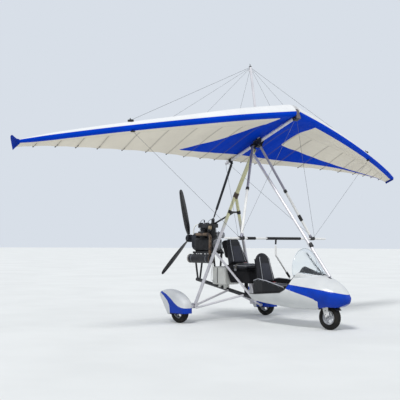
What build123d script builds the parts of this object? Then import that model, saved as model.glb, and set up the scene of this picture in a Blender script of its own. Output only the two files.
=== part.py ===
"""Two-seat flex-wing microlight: a three-wheeled trike hung under a wire-braced fabric wing.

Units are millimetres. +X points forward, +Y to the pilot's left and +Z up, with the ground at Z = 0.
The origin is on the ground under the middle of the aircraft's length. Sizes called ahead are measured
forward from the main wheels' axle line, and the wing has a frame of its own on the hang bolt, pitched
nose up as the wing stands when the aircraft is parked.
"""
from math import cos, radians, sin
import os

from build123d import *

os.makedirs("parts", exist_ok=True)

# Clearances
RUN_GAP = 0.08          # radial clearance of a pin or shaft that turns
SEAT_GAP = 0.3          # gap where one piece rests on another
SWING_GAP = 6.0         # room beside a piece that moves

# Length of the whole aircraft, from the pod's nose to the back of the propeller hub
NOSE_AHEAD = 2420.0
HUB_BACK_BEHIND = 885.0
AXLE_X = 0.5 * (HUB_BACK_BEHIND - NOSE_AHEAD)

# Wheels
WHEELBASE = 2080.0
HALF_TRACK = 960.0
TYRE_OD = 346.0
TYRE_WIDTH = 104.0
# Tyre profile: share of the height from bead to crown, share of the half width
TYRE_PROFILE = ((0.0, 0.63), (0.16, 0.90), (0.40, 1.0), (0.64, 0.92), (0.84, 0.66), (0.96, 0.34), (1.0, 0.14))
RIM_OD = 200.0
RIM_WIDTH = 84.0
RIM_WALL = 9.0
HUB_OD = 46.0
HUB_LENGTH = 96.0
SPOKE_COUNT = 5
SPOKE_WIDTH = 24.0
SPOKE_THICKNESS = 12.0
AXLE_D = 20.0
AXLE_NUT_D = 34.0
AXLE_NUT_LENGTH = 12.0
WHEEL_Z = TYRE_OD / 2

# Base tube, from the engine's tail down to the pod and forward to the steering head
BASE_TUBE_D = 60.0
BASE_TAIL_AHEAD = -657.0
BASE_TAIL_Z = 604.0
BASE_BEND_AHEAD = 560.0
BASE_BEND_Z = 375.0
BASE_BEND_RADIUS = 500.0
TIE_DOWN_AHEAD = -641.0
TIE_DOWN_D = 14.0
BASE_NOSE_Z = 433.0
FRONT_POST_AHEAD = 1890.0
FRONT_POST_D = 36.0
FRONT_POST_DROP = 24.0

# Steering head and fork
STEER_RAKE = 12.0
HEAD_LOW_Z = 400.0
HEAD_AHEAD = 2027.0
HEAD_SETBACK = 17.0        # the base tube's centre line ends this far behind the head's foot
BASE_NOSE_AHEAD = HEAD_AHEAD - HEAD_SETBACK
HEAD_LENGTH = 120.0
HEAD_OD = 50.0
STEM_D = 30.0
FORK_LEG_GAP = 134.0
FORK_LEG_DEPTH = 34.0
FORK_LEG_THICKNESS = 12.0
CROWN_THICKNESS = 12.0
TOW_PIN_LENGTH = 24.0
MUDGUARD_THICKNESS = 3.0
MUDGUARD_GAP = 12.0
MUDGUARD_TAB = 26.0

# Mast, legs and struts
HANG_AHEAD = 633.0
HANG_Z = 2647.0
COLLAR_AHEAD = 241.0
COLLAR_Z = 1953.0
MAST_D = 64.0
COLLAR_OD = 82.0
COLLAR_LENGTH = 96.0
LEG_D = 50.0
LEG_TOP_SPREAD = 14.0
BLOCK_SPREAD = 655.0
BLOCK_Z = 243.0
BLOCK_LENGTH = 84.0
BLOCK_WIDTH = 70.0
BLOCK_HEIGHT = 78.0
STUB_D = 34.0
KNUCKLE_SPREAD = 842.0
KNUCKLE_OD = 48.0
BRACE_D = 36.0
BRACE_ON_LEG = 0.51      # share of the leg's run where the brace starts, from the collar down
BRACE_FOOT_AHEAD = 625.0
BRACE_FOOT_SPREAD = 40.0
DRAG_D = 32.0
DRAG_FEET_AHEAD = (100.0, 430.0)
STRUT_D = 44.0
STRUT_FOOT_AHEAD = 2085.0
STRUT_FOOT_Z = 737.0
STRUT_TOP_DROP = 62.0
STRUT_COLLAR_D = 56.0
STRUT_COLLAR_LENGTH = 50.0
STRUT_COLLAR_AT = 0.235  # share of the front strut's run from its foot

# Hang bolt, hang block and mast head
BOLT_D = 12.0
LUG_HALF = 15.0
CHEEK_THICKNESS = 8.0
CHEEK_DEPTH = 40.0
HEAD_DROP = 32.0
HANG_RING_OD = 66.0
HANG_RING_LENGTH = 60.0

# Wing, in its own frame with its origin on the hang bolt
WING_PITCH = 22.0
KEEL_OD = 48.0
KEEL_Z = 70.0
KEEL_CHANNEL = 80.0
KEEL_NOSE = 890.0
KEEL_TAIL = -640.0
WING_NOSE = 975.0
SAIL_NOSE_Z = 116.0
HALF_SPAN = 4010.0
# Sail ribs: share of the half span, leading edge x, leading edge z, trailing edge x, trailing edge z,
# nose radius, rise of the upper surface over the chord line
RIBS = (
    (0.00, 959.0, 118.0, -575.0, 96.0, 58.0, 222.0),
    (0.22, 753.0, 68.0, -530.0, 66.0, 60.0, 188.0),
    (0.45, 507.0, 6.0, -300.0, -50.0, 60.0, 132.0),
    (0.70, 205.0, -58.0, -240.0, -112.0, 52.0, 90.0),
    (0.90, -64.0, -111.0, -310.0, -118.0, 40.0, 55.0),
    (1.00, -206.0, -139.0, -390.0, -132.0, 20.0, 24.0),
)
TRAILING_THICKNESS = 6.0
FIN_HEIGHT = 190.0
FIN_LENGTH = 130.0
FIN_THICKNESS = 8.0

# Control frame
APEX_AHEAD = 67.0
APEX_SPREAD = 85.0
APEX_LENGTH = 54.0
APEX_WIDTH = 220.0
APEX_PLATE = 24.0
APEX_DROP = 36.0
APEX_WALL = 8.0
UPRIGHT_D = 38.0
BAR_AHEAD = -59.0
BAR_Z = -1456.0
BAR_D = 32.0
BAR_HALF = 1120.0
CORNER_SPREAD = 793.0
CORNER_OD = 50.0
CORNER_LENGTH = 64.0
GRIP_OD = 42.0
# Grips on the base bar: nearest and farthest end, measured to the left
GRIPS = ((-676.0, -508.0), (-249.0, 505.0))

# Kingpost and stays
KINGPOST_D = 38.0
KINGPOST_FOOT = 139.0
KINGPOST_TOP = (412.0, 1244.0)
KINGPOST_CROSS = 0.94
STAY_D = 4.0
STAY_REST = 0.5         # share of a stay's diameter between its end and what holds it
SIDE_STAY_SHARE = 0.65
TANG_OFFSET = 14.0

# Telescopic rear strut between the keel and the engine's top
CLAMP_AHEAD = -520.0
CLAMP_LENGTH = 46.0
CLAMP_DROP = 52.0
PIN_D = 10.0
EYE_HALF = 10.0
EYE_OD = 34.0
BARREL_D = 40.0
BARREL_LENGTH = 800.0
BARREL_BORE_D = 28.0
ROD_D = 24.0
ROD_IN_BARREL = 300.0
ROD_EYE_AHEAD = -280.0
ROD_EYE_Z = 1572.0
ROD_EYE_BORE = 42.0
ROD_EYE_OD = 60.0

# Engine
CRANK_LOW_Z = 1062.0
CRANK_TOP_Z = 1280.0
CRANK_FRONT = -200.0
CRANK_BACK = -590.0
CRANK_HALF = 118.0
CYLINDERS_AHEAD = (-305.0, -485.0)
CYLINDER_OD = 128.0
FIN_OD = 168.0
FIN_COUNT = 7
FIN_PLATE = 5.0
CYLINDER_TOP_Z = 1448.0
HEAD_TOP_Z = 1516.0
CARB_Z = 1330.0
CARB_D = 48.0
CARB_REACH = 96.0
FILTER_D = 104.0
FILTER_LENGTH = 92.0
EXHAUST_Z = 1340.0
EXHAUST_D = 46.0
EXHAUST_SPREAD = 176.0
EXHAUST_FRONT = -160.0
EXHAUST_BEND = 60.0
GEARBOX_DEPTH = 100.0
GEARBOX_RADIUS = 92.0
PROP_Z = 1276.0
PROP_FLANGE_OD = 110.0
PROP_FLANGE_DEPTH = 12.0
PROP_SHAFT_D = 44.0
PROP_STUB_D = 30.0
HUB_FRONT_BEHIND = 815.0
POST_D = 32.0
POSTS_AHEAD = (-170.0, -610.0)
RAIL_SPREAD = 96.0
RAIL_HEIGHT = 34.0
RAIL_WIDTH = 30.0
MUFFLER_D = 144.0
MUFFLER_Z = 950.0
MUFFLER_SIDE = -184.0
MUFFLER_FRONT = -120.0
MUFFLER_BACK = -620.0
HANGER_D = 16.0
TOP_STRUT_D = 28.0
TOP_STRUT_Z = 1690.0

# Propeller
PROP_RADIUS = 836.0
PROP_BLADES = 3
PROP_TURN = 14.0
HUB_RADIUS = 64.0
# Blade sections: share of the radius, chord, pitch angle
BLADE_SECTIONS = ((0.07, 52.0, 34.0), (0.25, 92.0, 26.0), (0.60, 100.0, 17.0), (0.99, 58.0, 11.0))
BLADE_THICKNESS = 0.13

# Fuel tank
TANK_FRONT = 170.0
TANK_BACK = -125.0
TANK_HALF = 170.0
TANK_LOW_Z = 548.0
TANK_TOP_Z = 830.0
TANK_ROUND = 28.0
TANK_GROOVE_AHEAD = -2.0
TANK_GROOVE_WIDTH = 18.0
TANK_GROOVE_DEPTH = 6.0
TANK_FEET_AHEAD = (-85.0, 34.0)
TANK_FOOT_LENGTH = 44.0
TANK_FOOT_WIDTH = 84.0

# Pod sections: ahead, lowest z, widest z, top z, half width
POD = (
    (690.0, 335.0, 440.0, 560.0, 165.0),
    (1050.0, 308.0, 500.0, 800.0, 285.0),
    (1600.0, 270.0, 530.0, 812.0, 350.0),
    (2000.0, 286.0, 520.0, 752.0, 300.0),
    (2250.0, 318.0, 478.0, 640.0, 192.0),
    (2400.0, 378.0, 448.0, 500.0, 66.0),
    (2420.0, 410.0, 440.0, 462.0, 22.0),
)
POD_FLAT = 0.42
POD_WALL = 8.0
TUB_WALL = 6.0
TUB_GAP = 3.0
ARCH_HALF = 150.0
ARCH_RADIUS = 216.0
# Edge of the cockpit opening in the pod's side: ahead, z
POD_CUT = ((670.0, 445.0), (860.0, 448.0), (1440.0, 500.0), (1540.0, 545.0), (1600.0, 640.0), (1640.0, 840.0))
# Top edge of the cockpit tub: ahead, z
TUB_CUT = ((790.0, 640.0), (930.0, 674.0), (1130.0, 655.0), (1525.0, 572.0))
DASH_AHEAD = 1640.0
DASH_DEPTH = 14.0
DASH_LOW_Z = 600.0
# Windscreen sections: ahead, foot z, top z, half width at the foot
WINDSCREEN = ((1632.0, 700.0, 1134.0, 236.0), (1800.0, 680.0, 952.0, 198.0), (1990.0, 640.0, 762.0, 102.0))
SCREEN_WALL = 4.0

# Seats: back's foot ahead and z, back's height, lean from upright, foot width, top width, cushion length
FRONT_SEAT = (930.0, 600.0, 490.0, 14.0, 390.0, 320.0, 350.0)
REAR_SEAT = (335.0, 880.0, 470.0, 20.0, 440.0, 300.0, 330.0)
BACK_THICKNESS = 70.0
CUSHION_THICKNESS = 80.0
SEAT_PANEL = 8.0
PANEL_DROP = 66.0          # the back panel reaches this far below the cushion's top, onto the pan
PAD_GAP = 3.0
PAD_ROUND = 20.0
SEAT_POST_D = 60.0
SEAT_POST_SHARE = 0.4      # the post stands at this share of the cushion's length
# Stowage bag hung under the rear seat
BAG_BACK = 190.0
BAG_FRONT = 640.0
BAG_LOW_Z = 585.0
BAG_TOP_HALF = 160.0
BAG_LOW_HALF = 82.0
BAG_ROUND = 24.0

# Wheel spats: profile corners, ahead and z
SPAT_TAIL = (-453.0, 440.0)
SPAT_CROWN = (-170.0, 498.0)
SPAT_BROW = (205.0, 312.0)
SPAT_LOW_FRONT = (208.0, 150.0)
SPAT_LOW_BACK = (-212.0, 122.0)
SPAT_HALF = 88.0
SPAT_WALL = 5.0
SPAT_ROUND = 26.0

# Rest that holds the base bar while parked
REST_D = 24.0
REST_AHEAD = 1097.0
REST_STEP_Z = 610.0
REST_KNEE_Z = 690.0
REST_TOP = (1135.0, -70.0, 1030.0)
REST_STRAP_TOP_Z = 1168.0
REST_STRAP_WIDTH = 40.0
REST_STRAP_THICKNESS = 8.0


def point(ahead, left, up):
    """Point given ahead of the main axle, to the left and above the ground."""
    return Vector(AXLE_X + ahead, left, up)


HANG = point(HANG_AHEAD, 0, HANG_Z)
COLLAR = point(COLLAR_AHEAD, 0, COLLAR_Z)
PITCH = radians(WING_PITCH)
RAKE = radians(STEER_RAKE)


def wing_point(x, y, z):
    """Point given in the wing's own frame."""
    return HANG + Vector(x * cos(PITCH) - z * sin(PITCH), y, x * sin(PITCH) + z * cos(PITCH))


WING_X = wing_point(1, 0, 0) - HANG
WING_Z = wing_point(0, 0, 1) - HANG


def wing_plane(x, y, z):
    """Plane level with the wing's own frame at one of its points."""
    return Plane(origin=wing_point(x, y, z), x_dir=WING_X, z_dir=WING_Z)


def along(start, end, share):
    """Point at a share of the way from start to end."""
    return start + (end - start) * share


def aim(start, end, side=Vector(0, 1, 0)):
    """Plane at start whose z axis points at end and whose x axis keeps close to the given side."""
    run = (end - start).normalized()
    return Plane(origin=start, x_dir=(side - run * side.dot(run)).normalized(), z_dir=run)


def rod(start, end, diameter, mode=Mode.ADD):
    """Round bar from start to end in the active part."""
    with Locations(Plane(origin=start, z_dir=(end - start).normalized())):
        Cylinder(diameter / 2, (end - start).length, align=(Align.CENTER, Align.CENTER, Align.MIN), mode=mode)


def cross_rod(centre, half, diameter, mode=Mode.ADD):
    """Round bar across the aircraft, centred on a point."""
    rod(centre - Vector(0, half, 0), centre + Vector(0, half, 0), diameter, mode)


def finish(part, name):
    """Labels a finished piece and writes it to its own file."""
    part.part.label = name
    export_step(part.part, f"parts/{name}.step")


BASE_TAIL = point(BASE_TAIL_AHEAD, 0, BASE_TAIL_Z)
BASE_BEND = point(BASE_BEND_AHEAD, 0, BASE_BEND_Z)
BASE_NOSE = point(BASE_NOSE_AHEAD, 0, BASE_NOSE_Z)
HEAD_AXIS = Vector(-sin(RAKE), 0, cos(RAKE))
HEAD_LOW = point(HEAD_AHEAD, 0, HEAD_LOW_Z)
HEAD_HIGH = HEAD_LOW + HEAD_AXIS * HEAD_LENGTH


def base_tube_z(ahead):
    """Height of the base tube's centre line at a place along it."""
    if ahead < BASE_BEND_AHEAD:
        slope = (BASE_BEND_Z - BASE_TAIL_Z) / (BASE_BEND_AHEAD - BASE_TAIL_AHEAD)
    else:
        slope = (BASE_NOSE_Z - BASE_BEND_Z) / (BASE_NOSE_AHEAD - BASE_BEND_AHEAD)
    return BASE_BEND_Z + slope * (ahead - BASE_BEND_AHEAD)


def base_tube_path(diameter, mode=Mode.ADD):
    """Base tube's bent bar at a given diameter, in the active part."""
    with BuildLine() as path:
        FilletPolyline(BASE_TAIL, BASE_BEND, BASE_NOSE, radius=BASE_BEND_RADIUS)
    with BuildSketch(Plane(origin=path.line @ 0, z_dir=path.line % 0)) as section:
        Circle(diameter / 2)
    sweep(section.sketch, path=path.line, mode=mode)


# Base tube with the steering head at its front end and the upright that carries the front strut
STRUT_FOOT = point(STRUT_FOOT_AHEAD, 0, STRUT_FOOT_Z)
POST_FOOT = point(FRONT_POST_AHEAD, 0, base_tube_z(FRONT_POST_AHEAD))
POST_HEAD = STRUT_FOOT - Vector(0, 0, FRONT_POST_DROP)
with BuildPart() as base_tube:
    base_tube_path(BASE_TUBE_D)
    rod(HEAD_LOW, HEAD_HIGH, HEAD_OD)
    rod(POST_FOOT, POST_HEAD, FRONT_POST_D)
    rod(HEAD_LOW, HEAD_HIGH + HEAD_AXIS * SWING_GAP, STEM_D + 2 * RUN_GAP, Mode.SUBTRACT)
    cross_rod(point(TIE_DOWN_AHEAD, 0, base_tube_z(TIE_DOWN_AHEAD)), BASE_TUBE_D, TIE_DOWN_D, Mode.SUBTRACT)
finish(base_tube, "base_tube")

with BuildPart() as base_tube_room:
    base_tube_path(BASE_TUBE_D + 2 * SEAT_GAP)

# Collar that joins the mast to the rear legs
MAST_RUN = (HANG - COLLAR).normalized()
COLLAR_TOP = COLLAR + MAST_RUN * COLLAR_LENGTH / 2
COLLAR_BASE = COLLAR - MAST_RUN * COLLAR_LENGTH / 2
with BuildPart() as mast_collar:
    rod(COLLAR_BASE, COLLAR_TOP, COLLAR_OD)
    chamfer(mast_collar.edges().filter_by(GeomType.CIRCLE), 6)
finish(mast_collar, "mast_collar")

# Mast with two cheeks at its head that carry the hang bolt
CHEEK_INNER = LUG_HALF + SEAT_GAP
CHEEK_OUTER = CHEEK_INNER + CHEEK_THICKNESS
with BuildPart() as mast:
    rod(COLLAR_TOP, HANG - MAST_RUN * HEAD_DROP, MAST_D)
    for side in (-1, 1):
        with Locations(aim(HANG - MAST_RUN * (HEAD_DROP + 1), HANG)):
            with Locations((side * (CHEEK_INNER + CHEEK_THICKNESS / 2), 0)):
                Box(CHEEK_THICKNESS, CHEEK_DEPTH, HEAD_DROP + 1, align=(Align.CENTER, Align.CENTER, Align.MIN))
        cross_rod(HANG + Vector(0, side * (CHEEK_INNER + CHEEK_THICKNESS / 2), 0), CHEEK_THICKNESS / 2,
                  CHEEK_DEPTH)
    cross_rod(HANG, CHEEK_OUTER, BOLT_D)
finish(mast, "mast")

# Rear legs from the mast collar down to the axle blocks
LEG_TOP = COLLAR - MAST_RUN * COLLAR_LENGTH / 4


def leg_foot(side):
    """Centre of the axle block on one side."""
    return point(0, side * BLOCK_SPREAD, BLOCK_Z)


def leg_bar(side, grow, mode=Mode.ADD):
    """Rear leg's bar on one side in the active part, grown by a gap all round."""
    rod(LEG_TOP + Vector(0, side * LEG_TOP_SPREAD, 0), leg_foot(side), LEG_D + 2 * grow, mode)


def on_leg(side, share):
    """Point on a leg's centre line at a share of its run from the collar down."""
    return along(LEG_TOP + Vector(0, side * LEG_TOP_SPREAD, 0), leg_foot(side), share)


def block(side, grow, mode=Mode.ADD):
    """Axle block on one side, grown by a gap on every face."""
    with Locations(Plane(origin=leg_foot(side))):
        Box(BLOCK_LENGTH + 2 * grow, BLOCK_WIDTH + 2 * grow, BLOCK_HEIGHT + 2 * grow, mode=mode)


with BuildPart() as rear_legs:
    for side in (-1, 1):
        leg_bar(side, 0)
        block(side, SEAT_GAP, Mode.SUBTRACT)
    rod(COLLAR_BASE, COLLAR_TOP, COLLAR_OD + 2 * SEAT_GAP, Mode.SUBTRACT)
    with Locations(Plane(origin=COLLAR)):
        Box(4 * COLLAR_OD, 2 * SEAT_GAP, 4 * COLLAR_OD, mode=Mode.SUBTRACT)
finish(rear_legs, "rear_legs")

# Axle units: block, sloping stub, knuckle and wheel axle on each side
AXLE_TIP = HALF_TRACK + HUB_LENGTH / 2 + SWING_GAP
with BuildPart() as axles:
    for side in (-1, 1):
        knuckle = point(0, side * KNUCKLE_SPREAD, WHEEL_Z)
        block(side, 0)
        rod(leg_foot(side), knuckle, STUB_D)
        cross_rod(knuckle, KNUCKLE_OD / 3, KNUCKLE_OD)
        rod(knuckle, point(0, side * AXLE_TIP, WHEEL_Z), AXLE_D)
        rod(point(0, side * AXLE_TIP, WHEEL_Z), point(0, side * (AXLE_TIP + AXLE_NUT_LENGTH), WHEEL_Z),
            AXLE_NUT_D)
finish(axles, "axles")

# Side braces from the legs forward to a collar on the base tube
BRACE_FOOT = point(BRACE_FOOT_AHEAD, 0, base_tube_z(BRACE_FOOT_AHEAD))
with BuildPart() as side_braces:
    for side in (-1, 1):
        rod(on_leg(side, BRACE_ON_LEG), BRACE_FOOT + Vector(0, side * BRACE_FOOT_SPREAD, 0), BRACE_D)
        leg_bar(side, SEAT_GAP, Mode.SUBTRACT)
    add(base_tube_room.part, mode=Mode.SUBTRACT)
    with Locations(Plane(origin=BRACE_FOOT)):
        Box(10 * BRACE_D, 2 * BASE_TUBE_D, 4 * BASE_TUBE_D, align=(Align.CENTER, Align.CENTER, Align.MAX),
            mode=Mode.SUBTRACT)
finish(side_braces, "side_braces")

# Drag struts from the axle blocks to the base tube, two on each side
with BuildPart() as drag_struts:
    for side in (-1, 1):
        for row, ahead in enumerate(DRAG_FEET_AHEAD):
            start = leg_foot(side) + Vector(row * DRAG_D, 0, -row * DRAG_D)
            rod(start, point(ahead, side * BASE_TUBE_D / 4, base_tube_z(ahead)), DRAG_D)
        block(side, SEAT_GAP, Mode.SUBTRACT)
        leg_bar(side, SEAT_GAP, Mode.SUBTRACT)
    add(base_tube_room.part, mode=Mode.SUBTRACT)
finish(drag_struts, "drag_struts")

# Front strut from the pod's nose up to the mast head, with a joint collar
STRUT_TOP = HANG - MAST_RUN * STRUT_TOP_DROP
STRUT_AXIS = (STRUT_TOP - STRUT_FOOT).normalized()
with BuildPart() as front_strut:
    rod(STRUT_FOOT, STRUT_TOP, STRUT_D)
    collar_at = along(STRUT_FOOT, STRUT_TOP, STRUT_COLLAR_AT)
    rod(collar_at, collar_at + STRUT_AXIS * STRUT_COLLAR_LENGTH, STRUT_COLLAR_D)
    rod(COLLAR_TOP, HANG - MAST_RUN * HEAD_DROP, MAST_D + 2 * SEAT_GAP, Mode.SUBTRACT)
    rod(POST_FOOT, POST_HEAD + (POST_HEAD - POST_FOOT).normalized() * SEAT_GAP, FRONT_POST_D + 2 * SEAT_GAP,
        Mode.SUBTRACT)
finish(front_strut, "front_strut")


SKY_Z = 1500.0


def pod_section(row, inset, upright):
    """Closed pod section in the active sketch: crowned top or upright sides, over turned-in flanks."""
    _, low, wide, top, half = row
    low = low + inset
    top = top - inset
    half = half - inset
    flat = half * POD_FLAT
    with BuildLine() as edge:
        if upright:
            Polyline((half, wide), (half, SKY_Z - inset), (-half, SKY_Z - inset), (-half, wide))
        else:
            ThreePointArc((half, wide), (0, top), (-half, wide))
        ThreePointArc((-half, wide), (-0.5 * (half * 1.12 + flat), low + 0.36 * (wide - low)), (-flat, low))
        Line((-flat, low), (flat, low))
        ThreePointArc((flat, low), (0.5 * (half * 1.12 + flat), low + 0.36 * (wide - low)), (half, wide))
    make_face(edge.edges())


def pod_loft(rows, inset, mode=Mode.ADD, upright=False):
    """Solid through pod sections, in the active part."""
    faces = []
    for row in rows:
        with BuildSketch(Plane(origin=point(row[0], 0, 0), x_dir=(0, 1, 0), z_dir=(1, 0, 0))) as section:
            pod_section(row, inset, upright)
        faces.append(section.sketch.face())
    loft(faces, ruled=True, mode=mode)


def row_at(table, ahead):
    """Row worked out between two rows of a table at a place ahead of the axle."""
    for low_row, high_row in zip(table, table[1:]):
        if low_row[0] <= ahead <= high_row[0]:
            share = (ahead - low_row[0]) / (high_row[0] - low_row[0])
            return tuple(a + (b - a) * share for a, b in zip(low_row, high_row))
    raise ValueError(f"{ahead} is outside the table")


def side_cut(corners, sky, mode=Mode.SUBTRACT):
    """Takes away what lies above a side edge, right across the aircraft."""
    with BuildSketch(Plane(origin=point(0, 0, 0), x_dir=(1, 0, 0), z_dir=(0, -1, 0))) as region:
        Polygon(*corners, (corners[-1][0], sky), (corners[0][0], sky), align=None)
    extrude(region.sketch, amount=POD[2][4] * 2, both=True, mode=mode)


INNER_POD = ((POD[0][0] + POD_WALL, *POD[0][1:]), *POD[1:5], (POD[5][0] - POD_WALL, *POD[5][1:]))

# Pod shell: open cockpit at the rear, wheel arch below the nose
with BuildPart() as pod_shell:
    pod_loft(POD, 0)
    pod_loft(INNER_POD, POD_WALL, Mode.SUBTRACT)
    side_cut(POD_CUT, SKY_Z)
    with Locations(Plane(origin=point(WHEELBASE, 0, WHEEL_Z))):
        Cylinder(ARCH_RADIUS, 2 * ARCH_HALF, rotation=(90, 0, 0), mode=Mode.SUBTRACT)
    add(base_tube_room.part, mode=Mode.SUBTRACT)
    rod(STRUT_FOOT - STRUT_AXIS * STRUT_D, STRUT_FOOT + STRUT_AXIS * STRUT_D, STRUT_D + 4, Mode.SUBTRACT)
    rod(POST_FOOT, POST_HEAD + (POST_HEAD - POST_FOOT).normalized() * FRONT_POST_D, FRONT_POST_D + 4,
        Mode.SUBTRACT)
    for side in (-1, 1):
        rod(on_leg(side, BRACE_ON_LEG), BRACE_FOOT + Vector(0, side * BRACE_FOOT_SPREAD, 0),
            BRACE_D + 2 * SEAT_GAP, Mode.SUBTRACT)
finish(pod_shell, "pod_shell")

# Cockpit tub: dark side walls that stand above the pod's edge
TUB_ROWS = (row_at(POD, TUB_CUT[0][0]), POD[1], row_at(POD, TUB_CUT[-1][0]))
TUB_BORE_ROWS = (row_at(POD, TUB_CUT[0][0] - 10), POD[1], row_at(POD, TUB_CUT[-1][0] + 10))
with BuildPart() as cockpit_tub:
    pod_loft(TUB_ROWS, POD_WALL + TUB_GAP, upright=True)
    pod_loft(TUB_BORE_ROWS, POD_WALL + TUB_GAP + TUB_WALL, Mode.SUBTRACT, upright=True)
    side_cut(TUB_CUT, SKY_Z)
    add(base_tube_room.part, mode=Mode.SUBTRACT)
finish(cockpit_tub, "cockpit_tub")

# Instrument panel across the cowl
with BuildPart() as dashboard:
    panel_rows = (row_at(POD, DASH_AHEAD), row_at(POD, DASH_AHEAD + DASH_DEPTH))
    pod_loft(panel_rows, POD_WALL + SEAT_GAP)
    with Locations(Plane(origin=point(DASH_AHEAD, 0, DASH_LOW_Z))):
        Box(POD[2][4], 2 * POD[2][4], DASH_LOW_Z, align=(Align.CENTER, Align.CENTER, Align.MAX),
            mode=Mode.SUBTRACT)
finish(dashboard, "dashboard")


def screen_loft(inset, mode=Mode.ADD):
    """Solid under the windscreen's curve, drawn in by an inset, in the active part."""
    faces = []
    for place, (ahead, foot, top, half) in enumerate(WINDSCREEN):
        shift = -inset if place == 0 else (inset if place == len(WINDSCREEN) - 1 else 0)
        plane = Plane(origin=point(ahead + shift, 0, 0), x_dir=(0, 1, 0), z_dir=(1, 0, 0))
        with BuildSketch(plane) as section:
            with BuildLine():
                ThreePointArc((half - inset, foot), (0, top - inset), (inset - half, foot))
                Line((inset - half, foot), (half - inset, foot))
            make_face()
        faces.append(section.sketch.face())
    loft(faces, ruled=True, mode=mode)


# Windscreen: clear shell that stands on the cowl
with BuildPart() as windscreen:
    screen_loft(0)
    screen_loft(SCREEN_WALL, Mode.SUBTRACT)
    pod_loft(POD[1:5], -SEAT_GAP, Mode.SUBTRACT)
finish(windscreen, "windscreen")


def seat_plane(seat):
    """Plane of the back's front face, at its foot line."""
    ahead, z, _, lean, *_ = seat
    return Plane(origin=point(ahead, 0, z), x_dir=(0, 1, 0), z_dir=(cos(radians(lean)), 0, sin(radians(lean))))


def seat_back(seat):
    """Back cushion in the active part: tapers upwards, rounded at its top."""
    _, _, height, _, foot_width, top_width, _ = seat
    with BuildSketch(seat_plane(seat)) as outline:
        with BuildLine():
            Polyline((-foot_width / 2, 0), (-top_width / 2, height * 0.8))
            ThreePointArc((-top_width / 2, height * 0.8), (0, height), (top_width / 2, height * 0.8))
            Polyline((top_width / 2, height * 0.8), (foot_width / 2, 0), (-foot_width / 2, 0))
        make_face()
    extrude(outline.sketch, amount=-BACK_THICKNESS)


# Seats, each a back and a cushion
for seat, name in ((FRONT_SEAT, "front_seat"), (REAR_SEAT, "rear_seat")):
    ahead, z, _, _, foot_width, _, length = seat
    with BuildPart() as pads:
        seat_back(seat)
        with Locations(Plane(origin=point(ahead + length / 2 + PAD_GAP, 0, z - CUSHION_THICKNESS / 2))):
            Box(length, foot_width, CUSHION_THICKNESS)
        fillet(pads.edges(), PAD_ROUND)
    finish(pads, name)

# Seat frames: a pan and a back panel on a post from the base tube
with BuildPart() as seat_frames:
    for seat in (FRONT_SEAT, REAR_SEAT):
        ahead, z, height, _, foot_width, top_width, length = seat
        pan_top = z - CUSHION_THICKNESS - SEAT_GAP
        pan_back = -BACK_THICKNESS - SEAT_PANEL
        with Locations(Plane(origin=point(ahead + (length + pan_back) / 2, 0, pan_top - SEAT_PANEL / 2))):
            Box(length - pan_back, foot_width * 0.9, SEAT_PANEL)
        with BuildSketch(seat_plane(seat).offset(-BACK_THICKNESS - SEAT_GAP)) as panel:
            Polygon((-foot_width * 0.42, -PANEL_DROP), (foot_width * 0.42, -PANEL_DROP),
                    (top_width * 0.42, height * 0.8), (-top_width * 0.42, height * 0.8), align=None)
        extrude(panel.sketch, amount=-SEAT_PANEL)
        post_ahead = ahead + length * SEAT_POST_SHARE
        rod(point(post_ahead, 0, base_tube_z(post_ahead)), point(post_ahead, 0, pan_top - SEAT_PANEL / 2),
            SEAT_POST_D)
    add(base_tube_room.part, mode=Mode.SUBTRACT)
    for side in (-1, 1):
        rod(on_leg(side, BRACE_ON_LEG), BRACE_FOOT + Vector(0, side * BRACE_FOOT_SPREAD, 0),
            BRACE_D + 2 * SEAT_GAP, Mode.SUBTRACT)
finish(seat_frames, "seat_frames")

# Stowage bag: hangs from the rear seat's pan, narrower at its foot, with a sleeve round the seat's post
REAR_AHEAD, REAR_Z, REAR_LENGTH = REAR_SEAT[0], REAR_SEAT[1], REAR_SEAT[6]
BAG_TOP_Z = REAR_Z - CUSHION_THICKNESS - SEAT_PANEL - 3 * SEAT_GAP
REAR_POST_AHEAD = REAR_AHEAD + REAR_LENGTH * SEAT_POST_SHARE
with BuildPart() as under_seat_bag:
    with BuildSketch(Plane(origin=point(BAG_BACK, 0, 0), x_dir=(0, 1, 0), z_dir=(1, 0, 0))) as bag_end:
        Polygon((-BAG_LOW_HALF, BAG_LOW_Z), (BAG_LOW_HALF, BAG_LOW_Z), (BAG_TOP_HALF, BAG_TOP_Z),
                (-BAG_TOP_HALF, BAG_TOP_Z), align=None)
    extrude(bag_end.sketch, amount=BAG_FRONT - BAG_BACK)
    fillet(under_seat_bag.edges(), BAG_ROUND)
    rod(point(REAR_POST_AHEAD, 0, base_tube_z(REAR_POST_AHEAD)), point(REAR_POST_AHEAD, 0, REAR_Z),
        SEAT_POST_D + 2 * SEAT_GAP, Mode.SUBTRACT)
finish(under_seat_bag, "under_seat_bag")

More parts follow.
